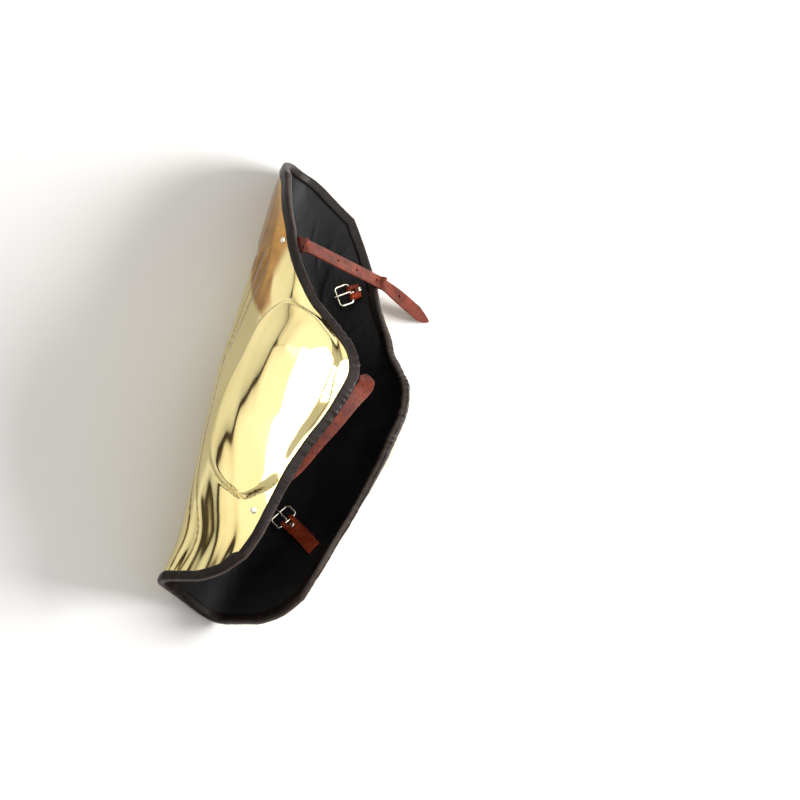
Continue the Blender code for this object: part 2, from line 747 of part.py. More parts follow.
def add_buckled_tab(which, root_place, bar_place):
    """A tab with its slot, and the buckle's frame and tongue on it."""
    tab = tab_layout(lining_face, root_place, bar_place)
    strip_rings = ribbon(tab.points, tab.sides, TAB_WIDTH, TAB_THICKNESS)
    strip = add_object(f"{which}_tab", skin(strip_rings), STRAP_LEATHER, root)
    slot_ends = (-TAB_SLOT_BEHIND, WIRE_RADIUS + TAB_THICKNESS * 3)
    slot_points = np.array([tab.bar + tab.along * end for end in slot_ends])
    slot_depth = 4 * (WIRE_RADIUS + TAB_THICKNESS)
    slot_rings = ribbon(slot_points, np.tile(tab.sideways, (2, 1)), TAB_SLOT, slot_depth)
    add_cut(strip, add_cutter(f"{which}_slot", skin(slot_rings), strip))
    frame_points, forward = buckle_points(tab)
    across = np.cross(forward, tab.sideways)
    frame_rings = tube(frame_points, WIRE_RADIUS, WIRE_SIDES, across, closed=True)
    frame = add_object(f"{which}_buckle", skin(frame_rings, closed=True), BRIGHT_METAL, root)
    prong_rings = tube(tongue_points(tab, forward), TONGUE_RADIUS, WIRE_SIDES, tab.sideways)
    prong = add_object(f"{which}_buckle_tongue", skin(prong_rings), BRIGHT_METAL, root)
    share = TAB_RIVET_FROM_BAR / travel(tab.points[:6])[-1]
    rivet_place = [b + (r - b) * share for r, b in zip(root_place, bar_place)]
    rivet = add_rivet(
        f"{which}_tab_rivet", rivet_place, tab.rivet, TAB_THICKNESS, strip, TAB_RIVET_HEAD_RADIUS
    )
    return [strip, frame, prong, rivet]


def add_rivet(name, place, leather_point, thickness, leather, head):
    """A rivet through shell, lining and a leather whose last layer is centred on a point."""
    axis = facet_at(lining_face, *place)[1]
    face = facet_at(plate_face, *place)[0]
    depth = (face - leather_point) @ axis + thickness / 2
    drill([shell, lining, leather], face, axis, depth)
    return add_object(name, skin(rivet_rings(face, axis, depth, head)), BRIGHT_METAL, root)


for leftover in list(bpy.data.objects):
    bpy.data.objects.remove(leftover, do_unlink=True)

BRASS = material("polished_brass", (0.80, 0.66, 0.33), 0.16, 1.0)
LINING_LEATHER = material("lining_leather", (0.012, 0.012, 0.013), 0.55, 0.0)
BINDING_LEATHER = material("binding_leather", (0.035, 0.026, 0.022), 0.5, 0.0)
STRAP_LEATHER = material("strap_leather", (0.24, 0.055, 0.03), 0.5, 0.0)
BRIGHT_METAL = material("bright_metal", (0.80, 0.78, 0.72), 0.2, 1.0)
CUTTER_FINISH = material("cutter", (0.5, 0.5, 0.5), 0.5, 0.0)

rest = (
    Matrix.Rotation(math.radians(REST_ROLL_DEG), 4, "Y")
    @ Matrix.Rotation(math.radians(REST_PITCH_DEG), 4, "X")
    @ Matrix.Rotation(math.radians(-90), 4, "X")
)
root = bpy.data.objects.new("greave_rest", None)
bpy.context.collection.objects.link(root)
root.rotation_euler = rest.to_euler()
up_vector = np.array(rest.to_3x3().inverted() @ Matrix.Identity(3).col[2])

plate_face, plain_face, normals = plate_grids()
lining_face = moved(plain_face, normals, STACK)
shell_walls = two_sided(plate_face, moved(plate_face, normals, PLATE_THICKNESS))
lining_walls = two_sided(moved(plain_face, normals, PLATE_THICKNESS + GAP), lining_face)
binding = binding_rings(plate_face, lining_face, normals)
floor = min((np.array(points) @ up_vector).min() for points in (*binding, plate_face.points))

shell = add_object("shell", shell_walls, BRASS, root)
lining = add_object("lining", lining_walls, LINING_LEATHER, root)
binding_skin = skin(binding, closed=True, other_way=(0, 4))
edge_binding = add_object("edge_binding", binding_skin, BINDING_LEATHER, root)

long_points, long_edgeways, long_rivet = upper_strap_points(lining_face, up_vector, floor)
long_rings = ribbon(long_points, long_edgeways, STRAP_WIDTH, STRAP_THICKNESS, STRAP_POINT)
upper_strap = add_object("upper_strap", skin(long_rings), STRAP_LEATHER, root)

short_points, facing = lower_strap_points(lining_face)
edgeways = np.cross(np.gradient(short_points, axis=0), facing)
short_rings = ribbon(short_points, edgeways, STRAP_WIDTH, STRAP_THICKNESS, LOWER_STRAP_POINT)
lower_strap = add_object("lower_strap", skin(short_rings), STRAP_LEATHER, root)
short_rivet = short_points[3]

made = [shell, lining, edge_binding, upper_strap, lower_strap]
for which, place, point, strap in (
    ("upper", UPPER_STRAP_RIVET, long_rivet, upper_strap),
    ("lower", LOWER_STRAP_RIVET, short_rivet, lower_strap),
):
    name = f"{which}_strap_rivet"
    made.append(add_rivet(name, place, point, STRAP_THICKNESS, strap, RIVET_HEAD_RADIUS))
made += add_buckled_tab("upper", UPPER_TAB_ROOT, UPPER_TAB_BAR)
made += add_buckled_tab("lower", LOWER_TAB_ROOT, LOWER_TAB_BAR)
lay_down(root, made)
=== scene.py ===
"""Looks of a polished brass greave with its leather lining, bound edge, straps and buckles.

Everything is modelled in leg axes, in metres: +X towards the flank that it lies on, +Y forwards
over the shin, +Z up the leg, and then laid down as the CAD part lies. A place on the plate is
(around, up): around runs from -1 at the near rim over 0 on the front ridge to 1 at the far rim,
and up runs from 0 at the lower edge to 1 at the top of the knee.
"""

import json
import math
from collections import namedtuple

import bmesh
import bpy
import numpy as np
from mathutils import Matrix, Vector


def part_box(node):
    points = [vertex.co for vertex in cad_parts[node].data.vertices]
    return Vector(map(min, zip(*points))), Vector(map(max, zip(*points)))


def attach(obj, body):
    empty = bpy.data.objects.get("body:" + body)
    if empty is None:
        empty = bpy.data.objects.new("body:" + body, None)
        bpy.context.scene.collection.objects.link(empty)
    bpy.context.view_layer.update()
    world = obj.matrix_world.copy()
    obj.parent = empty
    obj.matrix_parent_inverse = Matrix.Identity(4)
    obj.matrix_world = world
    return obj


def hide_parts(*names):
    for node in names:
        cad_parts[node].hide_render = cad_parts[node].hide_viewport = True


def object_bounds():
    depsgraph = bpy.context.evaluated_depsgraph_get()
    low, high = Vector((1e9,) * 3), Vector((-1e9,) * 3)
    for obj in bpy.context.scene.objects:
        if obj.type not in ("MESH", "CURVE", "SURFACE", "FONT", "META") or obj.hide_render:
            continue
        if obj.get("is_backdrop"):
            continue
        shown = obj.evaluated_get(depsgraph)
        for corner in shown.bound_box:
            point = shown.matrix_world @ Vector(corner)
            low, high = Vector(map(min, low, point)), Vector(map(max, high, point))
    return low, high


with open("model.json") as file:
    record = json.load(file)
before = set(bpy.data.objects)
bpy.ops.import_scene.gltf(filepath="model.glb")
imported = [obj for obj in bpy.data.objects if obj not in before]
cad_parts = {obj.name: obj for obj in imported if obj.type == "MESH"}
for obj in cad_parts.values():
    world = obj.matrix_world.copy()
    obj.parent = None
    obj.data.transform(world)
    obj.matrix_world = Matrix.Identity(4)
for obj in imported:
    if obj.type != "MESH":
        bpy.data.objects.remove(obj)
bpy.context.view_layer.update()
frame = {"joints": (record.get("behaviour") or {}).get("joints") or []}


def table(fields, *rows):
    row_kind = namedtuple("Row", fields)
    return [row_kind(*row) for row in rows]


# Plate, lining and bound edge, as in the CAD part
PLATE_HEIGHT = 0.400
CALF_WIDTH = 0.157
CALF_DEPTH = 0.172
FAR_FLANK_FLATTENING = 0.12
PLATE_THICKNESS = 0.0012
LINING_THICKNESS = 0.0020
BINDING_THICKNESS = 0.0014
BINDING_LEG = 0.0060
BINDING_END_SHARE = 0.35
BINDING_FULLNESS = 1.25
BINDING_LEG_WANDER = 0.0006
BINDING_FOLD_SPREAD = 0.16
KNEE_DROP = 0.024
GAP = 0.0003
SEAT_GAP = 0.0006
STACK = PLATE_THICKNESS + GAP + LINING_THICKNESS

# Relief, raised out of the plate
RIDGE_RISE = 0.0022
RIDGE_SPREAD = 0.015
CALF_MUSCLE_RISE = 0.0055
MUSCLE_FRONT_SLOPE = 0.010
MUSCLE_REAR_SLOPE = 0.018
FAR_MUSCLE_SHARE = 0.4
FAR_MUSCLE_INSET = 0.06
KNEECAP_RISE = 0.0045
KNEECAP_RADIUS = 0.024
KNEE_STEP = 0.0025
KNEE_STEP_SLOPE = 0.008

# Waves and low flutes, too faint for the CAD part, and the painted dark reflection lines that go with
# them
WAVE_WIDTH = 0.021
WAVE_LENGTH = 0.110
WAVE_RISE = 0.00024
FLUTE_WIDTH = 0.0115
FLUTE_RISE = 0.00030
FLUTES_FROM = 0.022
FLUTES_TO = 0.080
FLUTES_TOP = 0.300
FLUTE_LEAST = 0.6
FLUTE_GAIN = 0.9
FLUTE_GAIN_AT = 0.15
FLUTE_GAIN_SPAN = 0.10
FLUTE_FADE_FRONT = 0.008
FLUTE_FADE_REAR = 0.020
FLUTE_FADE_TOP = 0.020
DARK_REFLECTION_BELOW = 0.84
DARK_REFLECTION_FADE = 0.20
FOOT_DARK_REFLECTION = 0.7
FOOT_RAISED = 0.09
FOOT_SPREAD = 0.035

# Straps, tabs, buckles and rivets
STRAP_WIDTH = 0.0145
STRAP_THICKNESS = 0.0020
STRAP_POINT = 0.014
STRAP_TIP_SHARE = 0.06
STRAP_EDGE_SHARE = 0.42
LOWER_STRAP_POINT = 0.006
STRAP_REACH = 0.059
STRAP_SWING = 0.005
HOLE_RADIUS = 0.0014
HOLE_COUNT = 4
FIRST_HOLE = 0.40
HOLE_STEP = 0.135
STRAP_BEND = 0.007
TAB_WIDTH = 0.0130
TAB_THICKNESS = 0.0016
TAB_RETURN = 0.013
TAB_RIVET_FROM_BAR = 0.0078
TAB_SLOT = 0.0050
TAB_SLOT_BEHIND = 0.0046
WIRE_RADIUS = 0.0010
TONGUE_RADIUS = 0.0008
BUCKLE_LENGTH = 0.0140
BUCKLE_WIDTH = 0.0220
BUCKLE_CORNER = 0.0030
BUCKLE_TILT = 0.12
TONGUE_OVERHANG = 0.0015
RIVET_HEAD_RADIUS = 0.0030
TAB_RIVET_HEAD_RADIUS = 0.0024
RIVET_HEAD_HEIGHT = 0.0016
RIVET_SHANK_SHARE = 0.45
PRONG_TIP_SHARE = 0.6

# How it lies
REST_ROLL_DEG = 35.3
REST_PITCH_DEG = 1.9

# Fineness
SHELL_COLUMNS = 210
SHELL_ROWS = 220
LINING_COLUMNS = 200
LINING_ROWS = 220
RIM_STEPS = 1100
RIM_END_SAMPLES = 300
RIM_SIDE_SAMPLES = 400
BINDING_LEG_STEPS = 6
TAB_BASE_STEPS = 16
CURVE_STEPS = 10
STRAP_ARC = 5
STRAP_RING_STEP = 0.0012
TAB_RING_STEP = 0.0008
HEIGHT_SAMPLES = 600
ARC_NODES = 12

SECTIONS = table(
    "height ridge half_width widest rear rim",
    (-0.030, 0.047, 0.586, -0.116, 1.017, 110.8),
    (0.060, 0.012, 0.611, -0.174, 0.791, 122.5),
    (0.140, 0.000, 0.739, -0.244, 0.593, 135.0),
    (0.225, 0.006, 0.866, -0.326, 0.512, 141.9),
    (0.310, 0.035, 0.962, -0.419, 0.448, 148.5),
    (0.390, 0.064, 1.000, -0.477, 0.436, 153.5),
    (0.460, 0.093, 0.981, -0.494, 0.457, 154.6),
    (0.520, 0.110, 0.930, -0.488, 0.425, 149.5),
    (0.575, 0.119, 0.866, -0.471, 0.340, 137.4),
    (0.650, 0.125, 0.809, -0.442, 0.203, 117.2),
    (0.720, 0.122, 0.764, -0.366, 0.203, 100.4),
    (0.790, 0.113, 0.745, -0.297, 0.209, 90.5),
    (0.860, 0.122, 0.720, -0.279, 0.232, 77.0),
    (0.940, 0.134, 0.688, -0.291, 0.232, 58.4),
    (1.005, 0.105, 0.637, -0.291, 0.232, 45.0),
)
SECTION_BLUR = 0.014

LOWER_EDGE = table(
    "around dip",
    (0.00, -0.008),
    (0.11, -0.011),
    (0.42, -0.024),
    (0.75, -0.026),
    (0.92, -0.008),
    (1.00, 0.028),
)

CALF_MUSCLE = table(
    "up front rear",
    (0.172, 0.85, 0.79),
    (0.187, 0.76, 0.86),
    (0.200, 0.68, 0.92),
    (0.240, 0.565, 0.930),
    (0.300, 0.495, 0.930),
    (0.400, 0.480, 0.93),
    (0.480, 0.500, 0.905),
    (0.550, 0.545, 0.915),
    (0.600, 0.660, 0.91),
    (0.625, 0.76, 0.84),
    (0.645, 0.85, 0.78),
)
MUSCLE_BLUR = 0.006

# Painted brown reflection: the brass is painted brown from this height up
PAINTED_BROWN_REFLECTION = table(
    "around up",
    (0.00, 0.97),
    (0.30, 0.79),
    (0.45, 0.69),
    (0.59, 0.59),
    (0.68, 0.63),
    (0.73, 0.70),
    (0.96, 0.80),
    (1.00, 0.81),
)
BROWN_REFLECTION_FROM = 0.20
BROWN_REFLECTION_FADE_ROUND = 0.20
BROWN_REFLECTION_FADE_UP = 0.045

KNEECAP_UP = 0.770
KNEE_ARCH_TOP = 0.848
KNEE_ARCH_FALL = 0.085
KNEE_ARCH_HALF_SPAN = 0.050
RIDGE_FADE = 0.03

UPPER_STRAP_RIVET = (-0.885, 0.800)
UPPER_STRAP_START = (-0.700, 0.793)
UPPER_STRAP_LEAVES = (-0.960, 0.804)
UPPER_STRAP_CROSSING = (1.0, 0.853)
LOWER_STRAP_RIVET = (-0.895, 0.146)
UPPER_TAB_ROOT = (0.872, 0.813)
UPPER_TAB_BAR = (0.790, 0.795)
LOWER_TAB_ROOT = (0.815, 0.176)
LOWER_TAB_BAR = (0.470, 0.246)

LOWER_STRAP_ROUTE = table(
    "around up lift lean",
    (-0.895, 0.115, 0.03, 0.0),
    (*LOWER_STRAP_RIVET, 0.03, 0.0),
    (-0.900, 0.190, 0.08, 0.12),
    (-0.918, 0.230, 0.18, 0.55),
    (-0.930, 0.270, 0.28, 0.98),
    (-0.950, 0.323, 0.40, 1.08),
    (-0.970, 0.378, 0.52, 1.08),
    (-0.985, 0.436, 0.62, 1.18),
    (-1.000, 0.499, 0.70, 1.50),
    (-1.000, 0.543, 0.72, 2.00),
)

# The upper strap's free end, as shares of its reach and of the height it falls
STRAP_HANG = table(
    "reach fallen",
    (0.12, 0.05),
    (0.45, 0.38),
    (0.75, 0.72),
    (1.00, 1.00),
)

# The binding's gathers, each drawn between two bounds, and where along the rim they are deeper
GATHER_SPACING = (0.0022, 0.0058)
GATHER_DEPTH = (-0.00030, 0.00032)
GATHER_WIDTH = (0.0007, 0.0018)
GATHER_LEAN = (-0.0025, 0.0025)
GATHERED_EVERYWHERE = 0.45
GATHERED = table("up spread strength", (0.48, 0.15, 2.8), (0.22, 0.10, 0.9))

LINING_CREASES = table(
    "around up heading reach",
    (0.58, 0.810, 55, 0.017),
    (0.50, 0.855, 68, 0.012),
    (0.63, 0.880, 42, 0.015),
    (0.46, 0.900, 60, 0.013),
    (0.52, 0.740, 75, 0.016),
    (0.30, 0.800, 62, 0.014),
    (0.60, 0.640, 84, 0.020),
    (0.40, 0.620, 70, 0.016),
)
CREASE_WIDTH = 0.0028
CREASE_HEIGHT = 0.0006
CREASE_BOW = 9.0
LINING_HALF_GIRTH = 0.150

# The camera's directions in leg axes, and what it frames, fitted to the photograph
CAMERA_RIGHT = (0.611, -0.739, 0.282)
CAMERA_UP = (-0.445, -0.026, 0.895)
FRAME_WIDTH = 0.6843
FRAME_CENTRE_RIGHT = 0.1837
FRAME_CENTRE_UP = 0.1641
CAMERA_DISTANCE = 1.5

# Studio: the key light, and cards that only show in reflections
FLOOR_SIZE = 12.0
WORLD_STRENGTH = 0.7
WARM = (1, 0.98, 0.95)
CLEAR = (1, 0.99, 0.97)
CREAM = (1, 0.97, 0.92)
LAMPS = table(
    "name place target width height power colour on_surfaces",
    ("key", (1.3, 0.3, 0.9), (0, 0, 0.05), 0.7, 0.7, 40, WARM, True),
    ("top_card", (-0.1, 0.25, 1.5), (-0.1, 0.1, 0.1), 2.4, 2.2, 50, CLEAR, False),
    ("side_card", (-1.7, -0.2, 0.95), (0, 0, 0.12), 3.4, 1.5, 11.5, CREAM, False),
    ("knee_card", (-0.5, 1.7, 0.85), (0, 0, 0.12), 3.0, 1.5, 10, CREAM, False),
)

BODY = "greave"


def smooth(places, values, at):
    """A cubic through the points that never overshoots them."""
    places = np.asarray(places, float)
    values = np.asarray(values, float)
    at = np.asarray(at, float)
    step = np.diff(places)
    slope = np.diff(values) / step
    tangent = np.empty_like(places)
    tangent[0] = slope[0]
    tangent[-1] = slope[-1]
    before = 2 * step[1:] + step[:-1]
    after = step[1:] + 2 * step[:-1]
    rising = slope[1:] * slope[:-1] > 0
    left = np.where(rising, slope[:-1], 1)
    right = np.where(rising, slope[1:], 1)
    tangent[1:-1] = np.where(rising, (before + after) / (before / left + after / right), 0)
    i = np.clip(np.searchsorted(places, at) - 1, 0, len(step) - 1)
    t = (at - places[i]) / step[i]
    return (
        (1 + 2 * t) * (1 - t) ** 2 * values[i]
        + t * (1 - t) ** 2 * step[i] * tangent[i]
        + t**2 * (3 - 2 * t) * values[i + 1]
        + t**2 * (t - 1) * step[i] * tangent[i + 1]
    )


def softened(places, values, at, blur):
    """The same cubic with its bends rounded off, so that no kink shows in a reflection."""
    fine = np.linspace(places[0], places[-1], HEIGHT_SAMPLES)
    reach = int(3 * blur / (fine[1] - fine[0]))
    weights = np.exp(-0.5 * (np.arange(-reach, reach + 1) * (fine[1] - fine[0]) / blur) ** 2)
    weights /= weights.sum()
    raw = smooth(places, values, fine)
    ramp_before = raw[0] - (raw[1] - raw[0]) * np.arange(reach, 0, -1)
    ramp_after = raw[-1] + (raw[-1] - raw[-2]) * np.arange(1, reach + 1)
    padded = np.concatenate([ramp_before, raw, ramp_after])
    return np.interp(at, fine, np.convolve(padded, weights, "valid"))


def soft_step(distance, width):
    """0 at -width/2 and below, 1 at width/2 and above."""
    t = np.clip(distance / width + 0.5, 0, 1)
    return t * t * t * (t * (6 * t - 15) + 10)


def unit(vectors):
    vectors = np.asarray(vectors, float)
    return vectors / np.linalg.norm(vectors, axis=-1, keepdims=True)


def column(table, name):
    return [getattr(row, name) for row in table]


def lower_edge(around):
    dips = smooth(column(LOWER_EDGE, "around"), column(LOWER_EDGE, "dip"), np.abs(around))
    return dips * PLATE_HEIGHT


def upper_edge(around):
    return PLATE_HEIGHT - KNEE_DROP * np.abs(around) ** 3


NODES, WEIGHTS = np.polynomial.legendre.leggauss(ARC_NODES)


def arc_length(angle, across, front, rear):
    """Length round a section from the ridge: a quarter of one ellipse, then part of another."""
    quarter = math.pi / 2

    def stretch(start, end, deep):
        half = (end - start)[..., None] / 2
        at = start[..., None] + half * (NODES + 1)
        speed = np.hypot(across[..., None] * np.cos(at), deep[..., None] * np.sin(at))
        return (speed * WEIGHTS * half).sum(-1)

    bend = np.minimum(angle, quarter)
    return stretch(np.zeros_like(angle), bend, front) + stretch(bend, np.maximum(angle, bend), rear)


def bare_point(around, up):
    """Points of the plate before its relief, and each section's length from ridge to rim."""
    around, up = np.broadcast_arrays(np.asarray(around, float), np.asarray(up, float))
    height = lower_edge(around) * (1 - up) + upper_edge(around) * up
    heights = column(SECTIONS, "height")

    def section(name):
        return softened(heights, column(SECTIONS, name), height / PLATE_HEIGHT, SECTION_BLUR)

    ridge = section("ridge") * CALF_DEPTH
    across = section("half_width") * CALF_WIDTH / 2
    widest = section("widest") * CALF_DEPTH
    rear = section("rear") * CALF_DEPTH
    rim = np.radians(section("rim"))
    front = ridge - widest
    to_rim = arc_length(rim, across, front, rear)
    target = np.abs(around) * to_rim
    quarter = np.full_like(rim, math.pi / 2)
    in_front = target < arc_length(quarter, across, front, rear)
    deep = np.where(in_front, front, rear)
    angle = np.where(in_front, quarter / 2, quarter * 1.2)
    for _ in range(6):
        speed = np.hypot(across * np.cos(angle), deep * np.sin(angle))
        angle = angle - (arc_length(angle, across, front, rear) - target) / speed
        angle = np.where(in_front, np.clip(angle, 0, quarter), np.clip(angle, quarter, 2 * quarter))
    x = np.sign(around) * across * np.sin(angle)
    bow = 4 * around * (1 - around) * (around > 0)
    x = x * (1 - FAR_FLANK_FLATTENING * bow)
    y = widest + np.where(np.cos(angle) > 0, front, rear) * np.cos(angle)
    return np.stack([x, y, height], -1), to_rim


def tangents_at(around, up):
    step = 0.004
    across = bare_point(around + step, up)[0] - bare_point(around - step, up)[0]
    along = bare_point(around, up + step)[0] - bare_point(around, up - step)[0]
    return across / (2 * step), along / (2 * step)


def normal_at(around, up):
    """Outward normal of the plate before its relief."""
    across, along = tangents_at(around, up)
    return unit(np.cross(along, across))


def calf_muscle(around, up, length):
    """Height of the raised calf muscle, with a crisp front edge and a soft rear one."""
    places = column(CALF_MUSCLE, "up")
    front = softened(places, column(CALF_MUSCLE, "front"), up, MUSCLE_BLUR)
    rear = softened(places, column(CALF_MUSCLE, "rear"), up, MUSCLE_BLUR)
    share = np.where(around > 0, FAR_MUSCLE_SHARE, 1.0)
    rear = rear - np.where(around > 0, FAR_MUSCLE_INSET, 0.0)
    from_front = (np.abs(around) - front) * length
    from_rear = (rear - np.abs(around)) * length
    raised = soft_step(from_front, MUSCLE_FRONT_SLOPE) * soft_step(from_rear, MUSCLE_REAR_SLOPE)
    inside = (up > places[0]) & (up < places[-1])
    return CALF_MUSCLE_RISE * share * raised * inside


def kneecap(distance, height):
    reach = np.hypot(distance, height - KNEECAP_UP * PLATE_HEIGHT) / KNEECAP_RADIUS
    return KNEECAP_RISE * np.maximum(0.0, 1 - reach**2) ** 1.5


def knee_dome(distance, height):
    bow = (distance / KNEE_ARCH_HALF_SPAN) ** 2
    arch = (KNEE_ARCH_TOP - KNEE_ARCH_FALL * bow) * PLATE_HEIGHT
    return KNEE_STEP * soft_step(height - arch, KNEE_STEP_SLOPE) * np.maximum(0.0, 1 - bow / 1.6)


def ridge_crest(distance, height):
    start = (KNEECAP_UP - RIDGE_FADE) * PLATE_HEIGHT - KNEECAP_RADIUS / 2
    fade = soft_step(start - height, RIDGE_FADE * PLATE_HEIGHT)
    return RIDGE_RISE * fade * np.maximum(0.0, 1 - distance / RIDGE_SPREAD) ** 1.5


def flutes(distance, height):
    """The low flutes along the sides of the shin, from -1 to 1, and where they are."""
    aside = np.abs(distance)
    reach = soft_step(aside - FLUTES_FROM, FLUTE_FADE_FRONT)
    reach = reach * soft_step(FLUTES_TO - aside, FLUTE_FADE_REAR)
    slanted = 0.43 * distance / WAVE_WIDTH - 0.8 * height / WAVE_LENGTH
    bend = 0.5 * np.sin(2 * height / WAVE_LENGTH) + 0.2 * np.sin(2 * math.pi * slanted)
    wave = np.sin(2 * math.pi * (distance / FLUTE_WIDTH + bend))
    return wave, reach * soft_step(FLUTES_TOP - height, FLUTE_FADE_TOP)


def unevenness(distance, height):
    """The faint long waves and low flutes of the plate, which break up its reflections."""
    across = distance / WAVE_WIDTH
    along = height / WAVE_LENGTH
    first = np.sin(2 * math.pi * (across + 0.35 * np.sin(along)))
    second = np.sin(2 * math.pi * (0.43 * across - 0.8 * along) + 1.3)
    third = np.sin(2 * math.pi * (1.9 * across + 0.5 * along) + 0.4)
    faint = WAVE_RISE * (0.5 * first + 0.35 * second + 0.15 * third)
    wave, reach = flutes(distance, height)
    higher_up = soft_step(height - FLUTE_GAIN_AT, FLUTE_GAIN_SPAN)
    return faint + FLUTE_RISE * wave * reach * (FLUTE_LEAST + FLUTE_GAIN * higher_up)


def plate_face(around, up, relief=True):
    """Points and bare normals of the plate's outer face. Without relief only the dome is raised."""
    point, length = bare_point(around, up)
    normal = normal_at(around, up)
    distance = np.abs(around) * length
    rise = knee_dome(distance, point[..., 2])
    if relief:
        rise = rise + calf_muscle(around, up, length) + kneecap(distance, point[..., 2])
        rise = rise + ridge_crest(distance, point[..., 2])
        rise = rise + unevenness(np.sign(around) * distance, point[..., 2])
    return point + normal * rise[..., None], normal


def lining_at(place):
    """Point and outward normal of the lining's inner face at one place."""
    point, normal = plate_face(*place, relief=False)
    return point - normal * STACK, normal


# Laying it down: leg axes to the row frame


def rest_rotation():
    return np.array(
        Matrix.Rotation(math.radians(REST_ROLL_DEG), 3, "Y")
        @ Matrix.Rotation(math.radians(REST_PITCH_DEG), 3, "X")
        @ Matrix.Rotation(math.radians(-90), 3, "X")
    )


def rest_shift(rotation):
    """From the CAD shell's box, which the same plate fills once it is turned."""
    low, high = (np.array(corner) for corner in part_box("shell"))
    around, up = grid(80, 100)
    points, normals = plate_face(around, up)
    both_faces = np.concatenate([points, points - normals * PLATE_THICKNESS]).reshape(-1, 3)
    laid = both_faces @ rotation.T
    return (low + high) / 2 - (laid.min(0) + laid.max(0)) / 2


def to_row(points):
    return np.asarray(points, float) @ ROTATION.T + SHIFT


def to_leg(points):
    return (np.asarray(points, float) - SHIFT) @ ROTATION


# Mesh helpers


def add_object(name, points, faces):
    """A closed object from points in leg axes, with its faces turned outwards."""
    mesh = bpy.data.meshes.new(name)
    mesh.from_pydata(to_row(points).tolist(), [], faces)
    mesh.update()
    builder = bmesh.new()
    builder.from_mesh(mesh)
    bmesh.ops.recalc_face_normals(builder, faces=builder.faces)
    builder.to_mesh(mesh)
    builder.free()
    made = bpy.data.objects.new(name, mesh)
    bpy.context.collection.objects.link(made)
    return made


def add_piece(name, points, faces, material, node, slot, body=BODY, sharp_degrees=40):
    """One visible piece of the part, which stands for the CAD node named."""
    made = add_object(name, points, faces)
    made.data.shade_smooth()
    made.data.set_sharp_from_angle(angle=math.radians(sharp_degrees))
    made.data.materials.append(material)
    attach(made, body)
    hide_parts(node)
    return made


def paint(piece, name, values):
    """Store one value at each point of a piece, for its material to read."""
    piece.data.attributes.new(name, "FLOAT", "POINT").data.foreach_set("value", values)


def two_sided(outer, inner):
    """Points and faces of a closed wall between two grids of the same size."""
    rows, columns = outer.shape[:2]
    count = rows * columns
    points = np.concatenate([outer.reshape(-1, 3), inner.reshape(-1, 3)])
    index = np.arange(count).reshape(rows, columns)
    quads = np.stack([index[:-1, :-1], index[:-1, 1:], index[1:, 1:], index[1:, :-1]], -1)
    quads = quads.reshape(-1, 4)
    rim = np.concatenate([index[0, :-1], index[:-1, -1], index[-1, :0:-1], index[:0:-1, 0]])
    after = np.roll(rim, -1)
    edge = np.stack([rim, after, after + count, rim + count], -1)
    faces = np.concatenate([quads, quads[:, ::-1] + count, edge])
    return points, faces.tolist()


def skin(rings, closed=False):
    """Points and faces through rings of points, looped on itself or capped at both ends."""
    rings = np.asarray(rings)
    last, count = rings.shape[:2]
    index = np.arange(last * count).reshape(last, count)
    there = np.roll(index, -1, axis=0) if closed else index[1:]
    here = index if closed else index[:-1]
    quads = [here, np.roll(here, -1, axis=1), np.roll(there, -1, axis=1), there]
    faces = np.stack(quads, -1).reshape(-1, 4).tolist()
    if not closed:
        faces += [index[0].tolist(), index[-1, ::-1].tolist()]
    return rings.reshape(-1, 3), faces


def curve_through(points):
    """A smooth curve through points, with the same number of steps between each two."""
    points = np.array([2 * points[0] - points[1], *points, 2 * points[-1] - points[-2]])
    made = []
    for k in range(1, len(points) - 2):
        a, b, c, d = points[k - 1 : k + 3]
        square = 2 * a - 5 * b + 4 * c - d
        cube = 3 * b - a - 3 * c + d
        for t in np.linspace(0, 1, CURVE_STEPS, endpoint=False):
            made.append(0.5 * (2 * b + (c - a) * t + square * t**2 + cube * t**3))
    made.append(points[-2])
    return np.array(made)


def travel(points):
    """Distance along the points up to each of them."""
    return np.concatenate([[0], np.cumsum(np.linalg.norm(np.diff(points, axis=0), axis=1))])


def even(points, step, *others):
    """The same curve with points an even step apart, and anything that goes with them."""
    along = travel(points)
    count = max(2, int(along[-1] / step) + 1)
    at = np.linspace(0, along[-1], count)
    return [
        np.stack([np.interp(at, along, item[:, k]) for k in range(3)], 1)
        for item in (points, *others)
    ]


def strap_outline(width, thickness):
    """Half widths and heights round a strap's section, with edges rounded by wear."""
    edge = thickness * STRAP_EDGE_SHARE
    outline = []
    for sx, sz, first in ((1, 1, 90), (1, -1, 0), (-1, -1, -90), (-1, 1, 180)):
        for turn in np.radians(np.linspace(first, first - 90, STRAP_ARC)):
            x = sx * (width / 2 - edge) + edge * math.cos(turn)
            z = sz * (thickness / 2 - edge) + edge * math.sin(turn)
            outline.append((x, z))
        if sx != sz:
            across = np.linspace(sx, -sx, 8)[1:-1] * (width / 2 - edge)
            outline += [(x, sz * thickness / 2) for x in across]
    return outline


def strap_frames(points, sideways):
    """The directions of a strap's width, square to its run, and of its thickness."""
    tangents = unit(np.gradient(points, axis=0))
    sideways = unit(sideways - (sideways * tangents).sum(1, keepdims=True) * tangents)
    return sideways, np.cross(sideways, tangents)


def ribbon(points, sideways, width, thickness, point_length=0.0):
    """Rings of a flat strap with round edges. sideways is its width's direction at each point."""
    sideways, normals = strap_frames(points, sideways)
    to_end = travel(points)[-1] - travel(points)
    outline = strap_outline(width, thickness)
    rings = []
    for k, point in enumerate(points):
        share = 1.0
        if point_length:
            narrowed = min(1, to_end[k] / point_length) ** 0.7
            share = STRAP_TIP_SHARE + (1 - STRAP_TIP_SHARE) * narrowed
        rings.append([point + sideways[k] * x * share + normals[k] * z for x, z in outline])
    return rings


